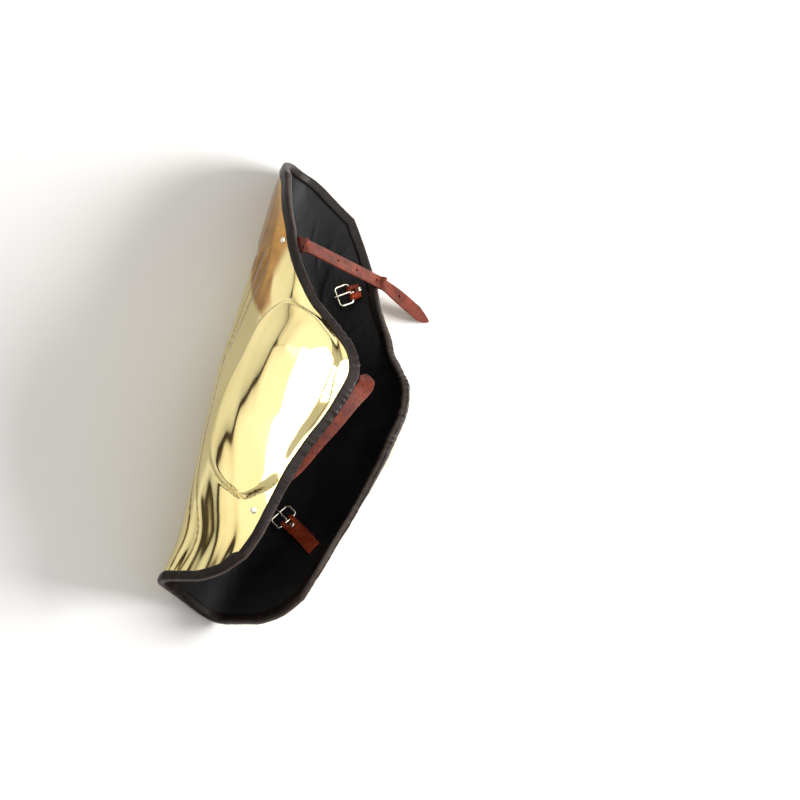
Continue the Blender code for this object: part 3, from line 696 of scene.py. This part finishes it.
def circle(centre, radius, side, other, sides):
    angles = np.linspace(0, 2 * math.pi, sides, endpoint=False)
    return [centre + radius * (side * math.cos(a) + other * math.sin(a)) for a in angles]


def tube(points, radius, sides, sideways, closed=False):
    """Rings of a round wire along points that lie in the plane across sideways."""
    if closed:
        tangents = unit(np.roll(points, -1, axis=0) - np.roll(points, 1, axis=0))
    else:
        tangents = unit(np.gradient(points, axis=0))
    side = unit(sideways)
    sizes = np.broadcast_to(radius, len(points))
    return [
        circle(point, size, side, np.cross(tangent, side), sides)
        for point, tangent, size in zip(points, tangents, sizes)
    ]


def turned(base, axis, profile, sides):
    """Rings of a form turned about axis. profile holds (radius, height) from one end to the other."""
    axis = unit(axis)
    side = unit(np.cross(axis, [0.31, 0.17, 0.93]))
    other = np.cross(axis, side)
    return [circle(base + axis * height, radius, side, other, sides) for radius, height in profile]


# Pieces


def grid(columns, rows):
    """Places all over the plate, from rim to rim and from the lower edge to the top."""
    return np.meshgrid(np.linspace(-1, 1, columns + 1), np.linspace(0, 1, rows + 1))


def add_shell():
    around, up = grid(SHELL_COLUMNS, SHELL_ROWS)
    outer, normals = plate_face(around, up)
    points, faces = two_sided(outer, outer - normals * PLATE_THICKNESS)
    shell = add_piece("brass_shell", points, faces, BRASS, "shell", "polished_brass")
    # Painted brown reflection on the sides of the knee
    paint(shell, "tarnish", np.tile(tarnish(around, up).ravel(), 2))
    # Painted dark reflection lines in the flutes and round the foot of the calf muscle
    paint(shell, "residue", np.tile(residue(around, up).ravel(), 2))


def tarnish(around, up):
    """How strong the painted brown reflection on the brass is: most on the sides of the knee."""
    aside = np.abs(around)
    start = np.interp(aside, column(PAINTED_BROWN_REFLECTION, "around"), column(PAINTED_BROWN_REFLECTION, "up"))
    return soft_step(up - start, BROWN_REFLECTION_FADE_UP) * soft_step(aside - BROWN_REFLECTION_FROM, BROWN_REFLECTION_FADE_ROUND)


def residue(around, up):
    """How strong the painted dark reflection lines in the flutes and round the foot of the calf muscle
    are.
    """
    point, length = bare_point(around, up)
    wave, reach = flutes(around * length, point[..., 2])
    low = soft_step(-wave - DARK_REFLECTION_BELOW, DARK_REFLECTION_FADE) * reach
    raised = calf_muscle(around, up, length) / CALF_MUSCLE_RISE
    foot = np.exp(-(((raised - FOOT_RAISED) / FOOT_SPREAD) ** 2))
    return np.maximum(low, FOOT_DARK_REFLECTION * foot)


def lining_creases(around, up):
    """How far the lining stands up in its soft creases."""
    height = np.zeros_like(up)
    for crease in LINING_CREASES:
        right = (around - crease.around) * LINING_HALF_GIRTH
        above = (up - crease.up) * PLATE_HEIGHT
        turn = math.radians(crease.heading)
        along = right * math.cos(turn) + above * math.sin(turn)
        off = above * math.cos(turn) - right * math.sin(turn) + along**2 * CREASE_BOW
        height += np.exp(-((along / crease.reach) ** 2) - (off / CREASE_WIDTH) ** 2)
    return CREASE_HEIGHT * np.minimum(height, 1)


def add_lining():
    around, up = grid(LINING_COLUMNS, LINING_ROWS)
    outer, normals = plate_face(around, up, relief=False)
    near = outer - normals * (PLATE_THICKNESS + GAP)
    depth = STACK + lining_creases(around, up)
    points, faces = two_sided(near, outer - normals * depth[..., None])
    add_piece("leather_lining", points, faces, LINING, "lining", "lining_leather")


def rim_route():
    """Places round the rim at even steps of distance, with the distance to each and the loop's length.
    """
    side = np.linspace(0, 1, RIM_SIDE_SAMPLES, endpoint=False)
    end = np.linspace(-1, 1, RIM_END_SAMPLES, endpoint=False)
    around = np.concatenate([end, np.ones_like(side), -end, -np.ones_like(side)])
    up = np.concatenate([np.zeros_like(end), side, np.ones_like(end), 1 - side])
    points = plate_face(around, up)[0]
    loop = np.concatenate([points, points[:1]])
    along = travel(loop)
    at = np.linspace(0, along[-1], RIM_STEPS, endpoint=False)
    around = np.interp(at, along, np.append(around, around[0]))
    up = np.interp(at, along, np.append(up, up[0]))
    return around, up, at, along[-1]


def blur_round(values, reach):
    """A running mean round a closed loop."""
    total = np.zeros_like(values)
    for k in range(-reach, reach + 1):
        total += np.roll(values, k, axis=0)
    return total / (2 * reach + 1)


def gathers(at, length, across, rng):
    """Small creases across the binding, deepest round the calf's point and on the lower near rim."""
    height = np.zeros((len(at), len(across)))
    place = 0.0
    while place < length:
        place += rng.uniform(*GATHER_SPACING)
        deep = rng.uniform(*GATHER_DEPTH)
        wide = rng.uniform(*GATHER_WIDTH)
        lean = rng.uniform(*GATHER_LEAN)
        gap = (at[:, None] - place - lean * across[None, :] + length / 2) % length - length / 2
        height += deep * np.exp(-((gap / wide) ** 2))
    return height


def binding_strength(around, up):
    """How strongly the binding is gathered at each place of the rim."""
    strength = np.full(len(up), GATHERED_EVERYWHERE)
    at_side = np.abs(around) > 0.99
    for row in GATHERED:
        strength += row.strength * np.exp(-(((up - row.up) / row.spread) ** 2)) * at_side
    return strength


def binding_legs(around, up, inwards, leg):
    """The lines of the binding's two legs, from their ends to the rim: outside, then inside."""
    across, along = tangents_at(around, up)
    to_places = np.linalg.pinv(np.stack([across, along], -1))
    shift = np.einsum("kij,kj->ki", to_places, inwards)
    outer_legs = []
    inner_legs = []
    for share in np.linspace(1, 0, BINDING_LEG_STEPS):
        reach = (leg * share)[:, None] * shift
        place = np.clip(around + reach[:, 0], -1, 1), np.clip(up + reach[:, 1], 0, 1)
        face, normal = plate_face(*place)
        bare, _ = plate_face(*place, relief=False)
        thick = BINDING_THICKNESS * (BINDING_END_SHARE if share == 1 else 1.0)
        outer_legs.append(face + normal * (GAP + thick))
        inner_legs.append(bare - normal * (STACK + GAP + thick))
    return outer_legs, inner_legs


def add_binding():
    """The leather folded over the rim, with its gathers."""
    around, up, at, length = rim_route()
    rim_outer, normal = plate_face(around, up)
    plain, _ = plate_face(around, up, relief=False)
    rim_inner = plain - normal * STACK
    ahead = blur_round(np.roll(rim_outer, -1, axis=0) - np.roll(rim_outer, 1, axis=0), 3)
    normal = unit(blur_round(normal, 3))
    inwards = unit(np.cross(normal, ahead))
    centre = plate_face(np.zeros(1), np.full(1, 0.5))[0][0]
    if ((centre - rim_outer) * inwards).sum() < 0:
        inwards = -inwards
    strength = binding_strength(around, up)
    leg = BINDING_LEG * (0.98 + 0.10 * strength)
    leg += BINDING_LEG_WANDER * blur_round(RNG.normal(0, 1, len(at)), 9)
    outer_legs, inner_legs = binding_legs(around, up, inwards, leg)
    far = GAP + BINDING_THICKNESS
    middle = (rim_outer + rim_inner) / 2
    half = (rim_outer - rim_inner) / 2 + normal * far
    over = []
    for turn in np.radians(np.linspace(60, -60, 5)):
        swing = math.cos(turn) * far * BINDING_FULLNESS
        over.append(middle + half * math.sin(turn) / math.sin(math.radians(75)) - inwards * swing)
    profile = np.array([*outer_legs, *over, *inner_legs[::-1]]).transpose(1, 0, 2)
    spread = np.linspace(-1, 1, profile.shape[1])
    crease = gathers(at, length, spread, RNG) * strength[:, None]
    crease *= (1 - spread**6)[None, :]
    outwards = unit(profile - (middle + inwards * BINDING_LEG * 0.2)[:, None, :])
    profile = profile + outwards * (crease[..., None] + 0.0001)
    inside = [
        inner_legs[0] + normal * (BINDING_THICKNESS * 0.3),
        rim_inner - normal * GAP - inwards * SEAT_GAP * 0.5,
        rim_outer + normal * GAP - inwards * SEAT_GAP * 0.5,
        outer_legs[0] - normal * (BINDING_THICKNESS * 0.3),
    ]
    rings = np.concatenate([profile, np.array(inside).transpose(1, 0, 2)], axis=1)
    points, faces = skin(rings, closed=True)
    binding = add_piece(
        "leather_binding", points, faces, BINDING, "edge_binding", "binding_leather", sharp_degrees=60
    )
    # Painted highlight along the middle of the fold, stored for the binding's material
    middle_line = np.exp(-((spread / BINDING_FOLD_SPREAD) ** 2))
    fold = np.concatenate([middle_line, np.zeros(rings.shape[1] - len(spread))])
    paint(binding, "fold", np.tile(fold, len(rings)))


def upper_strap_route():
    """From its start inside the near flank, across the opening, over the far rim to the surface."""
    up_leg = np.array([0, 0, 1.0])
    up_vector = ROTATION.T @ up_leg
    floor = -SHIFT @ up_leg
    half = STRAP_THICKNESS / 2
    over_binding = GAP + BINDING_THICKNESS + SEAT_GAP + half
    start, facing = lining_at(UPPER_STRAP_START)
    start = start - facing * (SEAT_GAP + half)
    rivet, facing = lining_at(UPPER_STRAP_RIVET)
    rivet = rivet - facing * over_binding
    leaves, facing = lining_at(UPPER_STRAP_LEAVES)
    leaves = leaves - facing * over_binding
    heading = unit(leaves - rivet)
    rim = lining_at((-1, UPPER_STRAP_LEAVES[1]))[0] - facing * over_binding
    past = rim + heading * (BINDING_THICKNESS + GAP)
    far_rim = lining_at(UPPER_STRAP_CROSSING)[0]
    crossing = far_rim + np.array([0, -over_binding - BINDING_THICKNESS, 0])
    over_there = unit(crossing - past)
    bend = past + STRAP_BEND * (heading * 0.7 + over_there * 0.3)
    turn = past + STRAP_BEND * (heading + over_there)
    middle = (turn + crossing) / 2
    flat = unit(np.array([1.0, 0, 0]) - up_vector[0] * up_vector)
    drop = up_vector * (crossing @ up_vector - floor - half - SEAT_GAP)
    reach = flat * STRAP_REACH - up_leg * STRAP_SWING
    route = [start, rivet, leaves, past, bend, turn, middle, crossing]
    route += [crossing + reach * step.reach - drop * step.fallen for step in STRAP_HANG]
    along_rim = far_rim - lining_at((1, UPPER_STRAP_CROSSING[1] - 0.04))[0]
    along_rim = unit([0, along_rim[1], along_rim[2]])
    hanging = unit(up_leg + along_rim)
    edgeways = [up_leg] * 3 + [unit(up_leg * 2 + along_rim)] + [along_rim] * 5 + [hanging] * 3
    return curve_through(route), curve_through(edgeways), rivet


def lower_strap_route():
    """Up behind the near rim, leaving the lining towards its pointed end."""
    seat = SEAT_GAP + STRAP_THICKNESS / 2
    route = []
    facing = []
    for step in LOWER_STRAP_ROUTE:
        point, normal = lining_at((step.around, step.up))
        lean = np.array([step.lean * STRAP_WIDTH, 0, 0])
        route.append(point - normal * (seat + step.lift * STRAP_WIDTH) + lean)
        facing.append(normal)
    return curve_through(route), curve_through(facing), route[1]


def add_straps():
    points, edgeways, long_rivet = upper_strap_route()
    points, edgeways = even(points, STRAP_RING_STEP, edgeways)
    rings = ribbon(points, edgeways, STRAP_WIDTH, STRAP_THICKNESS, STRAP_POINT)
    strap = add_piece("upper_leather_strap", *skin(rings), STRAP, "upper_strap", "strap_leather")
    punch_holes(strap, points, edgeways)
    points, facing, short_rivet = lower_strap_route()
    points, facing = even(points, STRAP_RING_STEP, facing)
    edgeways = np.cross(np.gradient(points, axis=0), facing)
    rings = ribbon(points, edgeways, STRAP_WIDTH, STRAP_THICKNESS, LOWER_STRAP_POINT)
    add_piece("lower_leather_strap", *skin(rings), STRAP, "lower_strap", "strap_leather")
    return long_rivet, short_rivet


def punch_holes(strap, points, edgeways):
    """The round holes for the prong, along the middle of the strap."""
    _, normals = strap_frames(points, edgeways)
    profile = [(HOLE_RADIUS, -STRAP_THICKNESS), (HOLE_RADIUS, STRAP_THICKNESS)]
    for k in range(HOLE_COUNT):
        at = int((FIRST_HOLE + k * HOLE_STEP) * len(points))
        cut_out(strap, turned(points[at], normals[at], profile, 14), f"hole_{k}")


def add_rivet(name, place, leather_point, thickness, head, node):
    """A domed rivet, with a head on the plate and one on the leather."""
    axis = lining_at(place)[1]
    face = plate_face(*place)[0]
    depth = (face - leather_point) @ axis + thickness / 2
    rise = RIVET_HEAD_HEIGHT
    dome = np.radians(np.linspace(84, 0, 9))
    outside = [(head * math.cos(a), GAP / 2 + rise * math.sin(a)) for a in dome]
    under = [(head * RIVET_SHANK_SHARE, GAP / 2), (head * RIVET_SHANK_SHARE, -depth - GAP)]
    inside = [(head * 0.95 * math.cos(a), -depth - GAP - rise * 0.75 * math.sin(a)) for a in dome[::-1]]
    rings = turned(face, axis, outside + under + inside, 24)
    add_piece(name, *skin(rings), BRIGHT, node, "bright_metal")


Tab = namedtuple("Tab", "points sides sideways bar along inwards rivet")


def tab_layout(root, bar_place, joint):
    """A tab from its root to the buckle's bar, round the bar and back over itself.

    The bar is the joint's own axis, and the tab bends that little bit to meet it.
    """
    seat = SEAT_GAP + TAB_THICKNESS / 2
    loop = WIRE_RADIUS + GAP + TAB_THICKNESS / 2
    base = []
    facing = []
    for t in np.linspace(0, 1, TAB_BASE_STEPS):
        place = [root[0] * (1 - t) + bar_place[0] * t, root[1] * (1 - t) + bar_place[1] * t]
        point, normal = lining_at(place)
        base.append(point - normal * seat)
        facing.append(normal)
    base = np.array(base)
    sideways = unit(ROTATION.T @ np.array(joint["axis"]))
    inwards = unit(-facing[-1] - (-facing[-1] @ sideways) * sideways)
    along = np.cross(inwards, sideways)
    bar = to_leg(joint["pos_m"])
    miss = bar - inwards * loop - base[-1]
    base = base + miss * (np.linspace(0, 1, TAB_BASE_STEPS) ** 2)[:, None]
    turns = np.radians(np.linspace(-75, 90, 14))
    around = [bar + loop * (along * math.cos(t) + inwards * math.sin(t)) for t in turns]
    layer = TAB_THICKNESS + GAP
    length = travel(base)[-1]

    def on_base(distance):
        """The lower layer's point at a distance behind the bar."""
        return np.array([np.interp(length - distance, travel(base), base[:, k]) for k in range(3)])

    back = []
    for t in (0.15, 0.3, 0.45, 0.6, 0.8, 1.0):
        fall = layer + (2 * loop - layer) * (1 - smooth([0, 0.55, 2], [0, 1, 1], t))
        back.append(on_base(TAB_RETURN * t) + inwards * fall)
    points = np.array([*base, *around, *back])
    sides = np.tile(sideways, (len(points), 1))
    for k, tangent in enumerate(unit(np.gradient(base, axis=0))):
        share = k / (len(base) - 1)
        side = np.cross(tangent, -facing[k])
        side = side if side @ sideways > 0 else -side
        sides[k] = side * (1 - share) + sideways * share
    rivet = on_base(TAB_RIVET_FROM_BAR) + inwards * layer
    return Tab(points, sides, sideways, bar, along, inwards, rivet)


def buckle_points(tab):
    """The frame's centreline: a rounded oblong whose first side is the bar."""
    forward = unit(tab.along + tab.inwards * BUCKLE_TILT)
    half_width = BUCKLE_WIDTH / 2 - WIRE_RADIUS
    length = BUCKLE_LENGTH - 2 * WIRE_RADIUS
    points = []
    far = length - BUCKLE_CORNER
    side = half_width - BUCKLE_CORNER
    corners = (BUCKLE_CORNER, side, 180), (far, side, 90), (far, -side, 0), (BUCKLE_CORNER, -side, -90)
    for centre_along, centre_side, first in corners:
        for turn in np.radians(np.linspace(first, first - 90, 10)):
            along = centre_along + BUCKLE_CORNER * math.cos(turn)
            across = centre_side + BUCKLE_CORNER * math.sin(turn)
            points.append(tab.bar + forward * along + tab.sideways * across)
    return np.array(points), forward


def tongue_points(tab, forward):
    """The prong's centreline: an eye round the bar, then straight over the frame's far side."""
    upwards = unit(np.cross(tab.sideways, forward))
    if upwards @ tab.inwards < 0:
        upwards = -upwards
    eye = WIRE_RADIUS + GAP + TONGUE_RADIUS
    turns = np.radians(np.linspace(175, 430, 28))
    ring = [tab.bar + eye * (forward * math.cos(t) + upwards * math.sin(t)) for t in turns]
    rise = WIRE_RADIUS + TONGUE_RADIUS + GAP
    length = BUCKLE_LENGTH - 2 * WIRE_RADIUS
    rest = tab.bar + forward * length + upwards * rise
    tip = rest + forward * (WIRE_RADIUS + TONGUE_OVERHANG)
    straight = [ring[-1] * (1 - t) + rest * t for t in (0.25, 0.5, 0.75)]
    return np.array([*ring, *straight, rest, tip])


def add_buckled_tab(which, root_place, bar_place):
    joint = next(j for j in frame["joints"] if j["name"] == f"{which}_tongue_hinge")
    tab = tab_layout(root_place, bar_place, joint)
    points, sides = even(tab.points, TAB_RING_STEP, tab.sides)
    rings = ribbon(points, sides, TAB_WIDTH, TAB_THICKNESS)
    strip = add_piece(f"{which}_leather_tab", *skin(rings), TAB, f"{which}_tab", "strap_leather")
    cut_slot(strip, tab, which)
    frame_points, forward = buckle_points(tab)
    across = np.cross(forward, tab.sideways)
    node = f"{which}_buckle"
    looped = skin(tube(frame_points, WIRE_RADIUS, 14, across, closed=True), closed=True)
    add_piece(f"{which}_buckle_frame", *looped, BRIGHT, node, "bright_metal")
    prong = tongue_points(tab, forward)
    taper = np.full(len(prong), TONGUE_RADIUS)
    taper[-1] *= PRONG_TIP_SHARE
    rings = tube(prong, taper, 12, tab.sideways)
    node = f"{which}_buckle_tongue"
    add_piece(f"{which}_prong", *skin(rings), BRIGHT, node, "bright_metal", f"{which}_tongue")
    length = travel(tab.points[:TAB_BASE_STEPS])[-1]
    share = TAB_RIVET_FROM_BAR / length
    place = [b + (r - b) * share for r, b in zip(root_place, bar_place)]
    name = f"{which}_tab_rivet"
    add_rivet(f"{name}_head", place, tab.rivet, TAB_THICKNESS, TAB_RIVET_HEAD_RADIUS, name)


def cut_slot(strip, tab, which):
    """The slot in the tab's fold that the prong swings in."""
    side = tab.sideways * TAB_SLOT / 2
    deep = tab.inwards * 2 * (WIRE_RADIUS + TAB_THICKNESS)
    corners = (-side - deep, side - deep, side + deep, deep - side)
    ends = (-TAB_SLOT_BEHIND, WIRE_RADIUS + TAB_THICKNESS * 3)
    rings = [[tab.bar + tab.along * end + corner for corner in corners] for end in ends]
    cut_out(strip, rings, f"{which}_slot")


def cut_out(target, rings, name):
    """Cuts the form inside the rings out of a piece."""
    cutter = add_object(name, *skin(rings))
    cut = target.modifiers.new("cut", "BOOLEAN")
    cut.operation = "DIFFERENCE"
    cut.solver = "EXACT"
    cut.object = cutter
    graph = bpy.context.evaluated_depsgraph_get()
    result = bpy.data.meshes.new_from_object(target.evaluated_get(graph))
    target.modifiers.clear()
    target.data = result
    bpy.data.objects.remove(cutter, do_unlink=True)


# Materials


def fill_ramp(elements, stops):
    for k, (position, colour) in enumerate(stops):
        element = elements[k] if k < len(elements) else elements.new(position)
        element.position = position
        element.color = (*colour, 1)


class Look:
    """A material under construction: its node tree, its shader and short ways to add to them."""

    def __init__(self, name, roughness, metallic=0.0):
        self.material = bpy.data.materials.new(name)
        self.material.use_nodes = True
        self.nodes = self.material.node_tree.nodes
        self.links = self.material.node_tree.links
        self.shader = self.nodes["Principled BSDF"]
        self.set(Roughness=roughness, Metallic=metallic)
        self.place = self.add("ShaderNodeTexCoord").outputs["Object"]

    def set(self, **values):
        for name, value in values.items():
            self.shader.inputs[name.replace("_", " ")].default_value = value

    def add(self, kind, inputs=(), **settings):
        """A node with its settings. inputs holds (name, value or another node's output)."""
        node = self.nodes.new(kind)
        for name, value in settings.items():
            setattr(node, name, value)
        for name, value in inputs:
            if hasattr(value, "links"):
                self.links.new(value, node.inputs[name])
            else:
                node.inputs[name].default_value = value
        return node

    def noise(self, scale, detail=4.0, roughness=0.55, stretch=None, distortion=0.0):
        place = ("Vector", self.stretched(stretch))
        grain = ("Detail", detail), ("Roughness", roughness), ("Distortion", distortion)
        return self.add("ShaderNodeTexNoise", (place, ("Scale", scale), *grain)).outputs["Fac"]

    def cells(self, scale):
        inputs = ("Vector", self.place), ("Scale", scale)
        return self.add("ShaderNodeTexVoronoi", inputs).outputs["Distance"]

    def stretched(self, stretch):
        if stretch is None:
            return self.place
        inputs = ("Vector", self.place), ("Scale", stretch)
        return self.add("ShaderNodeMapping", inputs).outputs["Vector"]

    def painted(self, name):
        """The values that paint stored on the piece."""
        return self.add("ShaderNodeAttribute", attribute_name=name).outputs["Fac"]

    def ramp(self, value, *stops):
        """Colours between stops of (position, colour)."""
        node = self.add("ShaderNodeValToRGB", [("Fac", value)])
        fill_ramp(node.color_ramp.elements, stops)
        return node.outputs["Color"]

    def mix(self, value, first, second, blend="MIX"):
        inputs = (0, value), (6, first), (7, second)
        return self.add("ShaderNodeMix", inputs, data_type="RGBA", blend_type=blend).outputs[2]

    def colour(self, value):
        self.links.new(value, self.shader.inputs["Base Color"])

    def roughness(self, value, low, high):
        node = self.add("ShaderNodeMapRange", (("Value", value), ("To Min", low), ("To Max", high)))
        self.links.new(node.outputs["Result"], self.shader.inputs["Roughness"])

    def bump(self, value, depth):
        """Adds a relief of this depth in metres on top of any relief that is there."""
        node = self.add("ShaderNodeBump", (("Height", value), ("Distance", depth), ("Strength", 1.0)))
        socket = self.shader.inputs["Normal"]
        if socket.links:
            self.links.new(socket.links[0].from_socket, node.inputs["Normal"])
        self.links.new(node.outputs["Normal"], socket)


def polished_brass():
    """Mirror-polished sheet brass: faint dents, hairline scratches, a few duller clouds, and painted
    brown and dark reflections.
    """
    look = Look("polished_brass", 0.08, metallic=1.0)
    tone = look.noise(14.0, 3.0)
    brass_colour = look.ramp(tone, (0.35, (0.82, 0.69, 0.31)), (0.65, (0.88, 0.76, 0.39)))
    # Painted brown reflection, mixed in by its stored mask
    brown = look.ramp(look.noise(60.0, 5.0), (0.30, (0.33, 0.155, 0.040)), (0.70, (0.54, 0.30, 0.085)))
    metal = look.mix(look.painted("tarnish"), brass_colour, brown)
    # Painted dark reflection lines, in a dark brown
    look.colour(look.mix(look.painted("residue"), metal, (0.15, 0.080, 0.025, 1)))
    look.roughness(look.noise(22.0, 5.0), 0.05, 0.13)
    look.bump(look.noise(30.0, 1.0), 0.00038)
    look.bump(look.noise(900.0, 2.0, stretch=(1.0, 0.05, 1.0)), 0.0000022)
    return look.material


def lining_leather():
    """Black leather with a soft grey sheen, fine grain and scuffed patches."""
    look = Look("lining_leather", 0.5)
    tone = look.noise(18.0, 5.0)
    look.colour(look.ramp(tone, (0.30, (0.0022, 0.0020, 0.0023)), (0.75, (0.011, 0.0105, 0.014))))
    look.roughness(look.noise(40.0, 4.0), 0.34, 0.70)
    look.bump(look.noise(34.0, 3.0, distortion=0.8), 0.0016)
    look.bump(look.cells(750.0), 0.00009)
    look.set(Specular_IOR_Level=0.16)
    return look.material


def binding_leather():
    """Thin dark brown leather, with a painted highlight along the middle of its fold."""
    look = Look("binding_leather", 0.5)
    tone = look.noise(120.0, 5.0)
    dark = look.ramp(tone, (0.32, (0.0050, 0.0030, 0.0025)), (0.72, (0.018, 0.010, 0.007)))
    # Painted highlight: a lighter band along the middle of the fold
    painted_highlight = look.ramp(look.painted("fold"), (0.30, (0.0, 0.0, 0.0)), (0.85, (0.034, 0.023, 0.018)))
    look.colour(look.mix(1.0, dark, painted_highlight, "ADD"))
    look.roughness(look.noise(220.0, 3.0), 0.24, 0.50)
    look.bump(look.noise(420.0, 4.0), 0.00030)
    look.bump(look.cells(1100.0), 0.00008)
    look.set(Specular_IOR_Level=0.16)
    return look.material


def strap_leather(name, dark, middle, light):
    """Red-brown strap leather: blotched dye, creased grain and small dark nicks."""
    look = Look(name, 0.42)
    blotches = look.mix(0.45, look.noise(70.0, 5.0, 0.6), look.noise(520.0, 3.0, 0.7))
    dye = look.ramp(blotches, (0.30, dark), (0.52, middle), (0.74, light))
    nicks = look.ramp(look.noise(260.0, 3.0), (0.28, (0.25,) * 3), (0.42, (1.0,) * 3))
    look.colour(look.mix(1.0, dye, nicks, "MULTIPLY"))
    look.roughness(look.noise(160.0, 3.0), 0.30, 0.52)
    look.bump(look.cells(900.0), 0.00010)
    look.bump(look.noise(300.0, 4.0), 0.00030)
    look.set(Specular_IOR_Level=0.18)
    return look.material


def bright_metal():
    """Pale plated metal with small dents and scuffs."""
    look = Look("bright_metal", 0.2, metallic=1.0)
    tone = look.noise(300.0, 3.0)
    look.colour(look.ramp(tone, (0.35, (0.62, 0.55, 0.42)), (0.65, (0.86, 0.82, 0.72))))
    look.roughness(look.noise(700.0, 3.0), 0.12, 0.34)
    look.bump(look.noise(500.0, 2.0), 0.00006)
    return look.material


def plain_floor():
    look = Look("pale_floor", 0.75)
    look.set(Base_Color=(0.86, 0.86, 0.86, 1), Specular_IOR_Level=0.2)
    return look.material


# Studio


def add_floor():
    mesh = bpy.data.meshes.new("floor")
    half = FLOOR_SIZE / 2
    corners = [(-half, -half, 0), (half, -half, 0), (half, half, 0), (-half, half, 0)]
    mesh.from_pydata(corners, [], [(0, 1, 2, 3)])
    mesh.materials.append(plain_floor())
    floor = bpy.data.objects.new("floor", mesh)
    bpy.context.collection.objects.link(floor)
    floor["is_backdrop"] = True


def add_light(lamp):
    light = bpy.data.lights.new(lamp.name, "AREA")
    light.shape = "RECTANGLE"
    light.size = lamp.width
    light.size_y = lamp.height
    light.energy = lamp.power
    light.color = lamp.colour
    made = bpy.data.objects.new(lamp.name, light)
    made.location = lamp.place
    aim = Vector(lamp.target) - Vector(lamp.place)
    made.rotation_euler = aim.to_track_quat("-Z", "Y").to_euler()
    made.visible_diffuse = lamp.on_surfaces
    bpy.context.collection.objects.link(made)


def add_world():
    """A pale dome above and below that falls off to a warm dark tone at the horizon."""
    world = bpy.data.worlds.new("studio")
    bpy.context.scene.world = world
    world.use_nodes = True
    nodes = world.node_tree.nodes
    links = world.node_tree.links
    direction = nodes.new("ShaderNodeTexCoord")
    parts = nodes.new("ShaderNodeSeparateXYZ")
    ramp = nodes.new("ShaderNodeValToRGB")
    links.new(direction.outputs["Generated"], parts.inputs["Vector"])
    height = nodes.new("ShaderNodeMath")
    height.operation = "ABSOLUTE"
    links.new(parts.outputs["Z"], height.inputs[0])
    links.new(height.outputs["Value"], ramp.inputs["Fac"])
    stops = (
        (0.0, (0.020, 0.010, 0.004)),
        (0.07, (0.12, 0.08, 0.04)),
        (0.15, (0.60, 0.54, 0.44)),
        (0.30, (0.92, 0.90, 0.86)),
        (1.0, (1.0, 1.0, 1.0)),
    )
    fill_ramp(ramp.color_ramp.elements, stops)
    background = nodes["Background"]
    links.new(ramp.outputs["Color"], background.inputs["Color"])
    background.inputs["Strength"].default_value = WORLD_STRENGTH


def add_camera():
    right = ROTATION @ unit(CAMERA_RIGHT)
    backwards = unit(np.cross(right, ROTATION @ unit(CAMERA_UP)))
    up = np.cross(backwards, right)
    camera = bpy.data.cameras.new("camera")
    camera.type = "ORTHO"
    camera.ortho_scale = FRAME_WIDTH
    low, high = (np.array(corner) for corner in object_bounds())
    middle = (low + high) / 2
    picture = np.stack([right, up], 1)
    off = np.array([FRAME_CENTRE_RIGHT, FRAME_CENTRE_UP]) + (SHIFT - middle) @ picture
    place = middle + picture @ off
    made = bpy.data.objects.new("camera", camera)
    columns = np.stack([right, up, backwards, place + backwards * CAMERA_DISTANCE], 1)
    made.matrix_world = Matrix([*columns.tolist(), [0, 0, 0, 1]])
    bpy.context.collection.objects.link(made)
    bpy.context.scene.camera = made


ROTATION = rest_rotation()
SHIFT = rest_shift(ROTATION)
RNG = np.random.default_rng(11)

BRASS = polished_brass()
LINING = lining_leather()
BINDING = binding_leather()
STRAP = strap_leather(
    "strap_leather", dark=(0.030, 0.007, 0.004), middle=(0.125, 0.017, 0.006), light=(0.29, 0.050, 0.015)
)
TAB = strap_leather(
    "tab_leather", dark=(0.09, 0.012, 0.005), middle=(0.40, 0.052, 0.014), light=(0.60, 0.13, 0.038)
)
BRIGHT = bright_metal()

add_camera()
add_shell()
add_lining()
add_binding()
LONG_RIVET, SHORT_RIVET = add_straps()
for name, place, leather in (
    ("upper_strap_rivet", UPPER_STRAP_RIVET, LONG_RIVET),
    ("lower_strap_rivet", LOWER_STRAP_RIVET, SHORT_RIVET),
):
    add_rivet(f"{name}_head", place, leather, STRAP_THICKNESS, RIVET_HEAD_RADIUS, name)
add_buckled_tab("upper", UPPER_TAB_ROOT, UPPER_TAB_BAR)
add_buckled_tab("lower", LOWER_TAB_ROOT, LOWER_TAB_BAR)

add_floor()
add_world()
for lamp in LAMPS:
    add_light(lamp)

bpy.context.scene.view_settings.view_transform = "Standard"
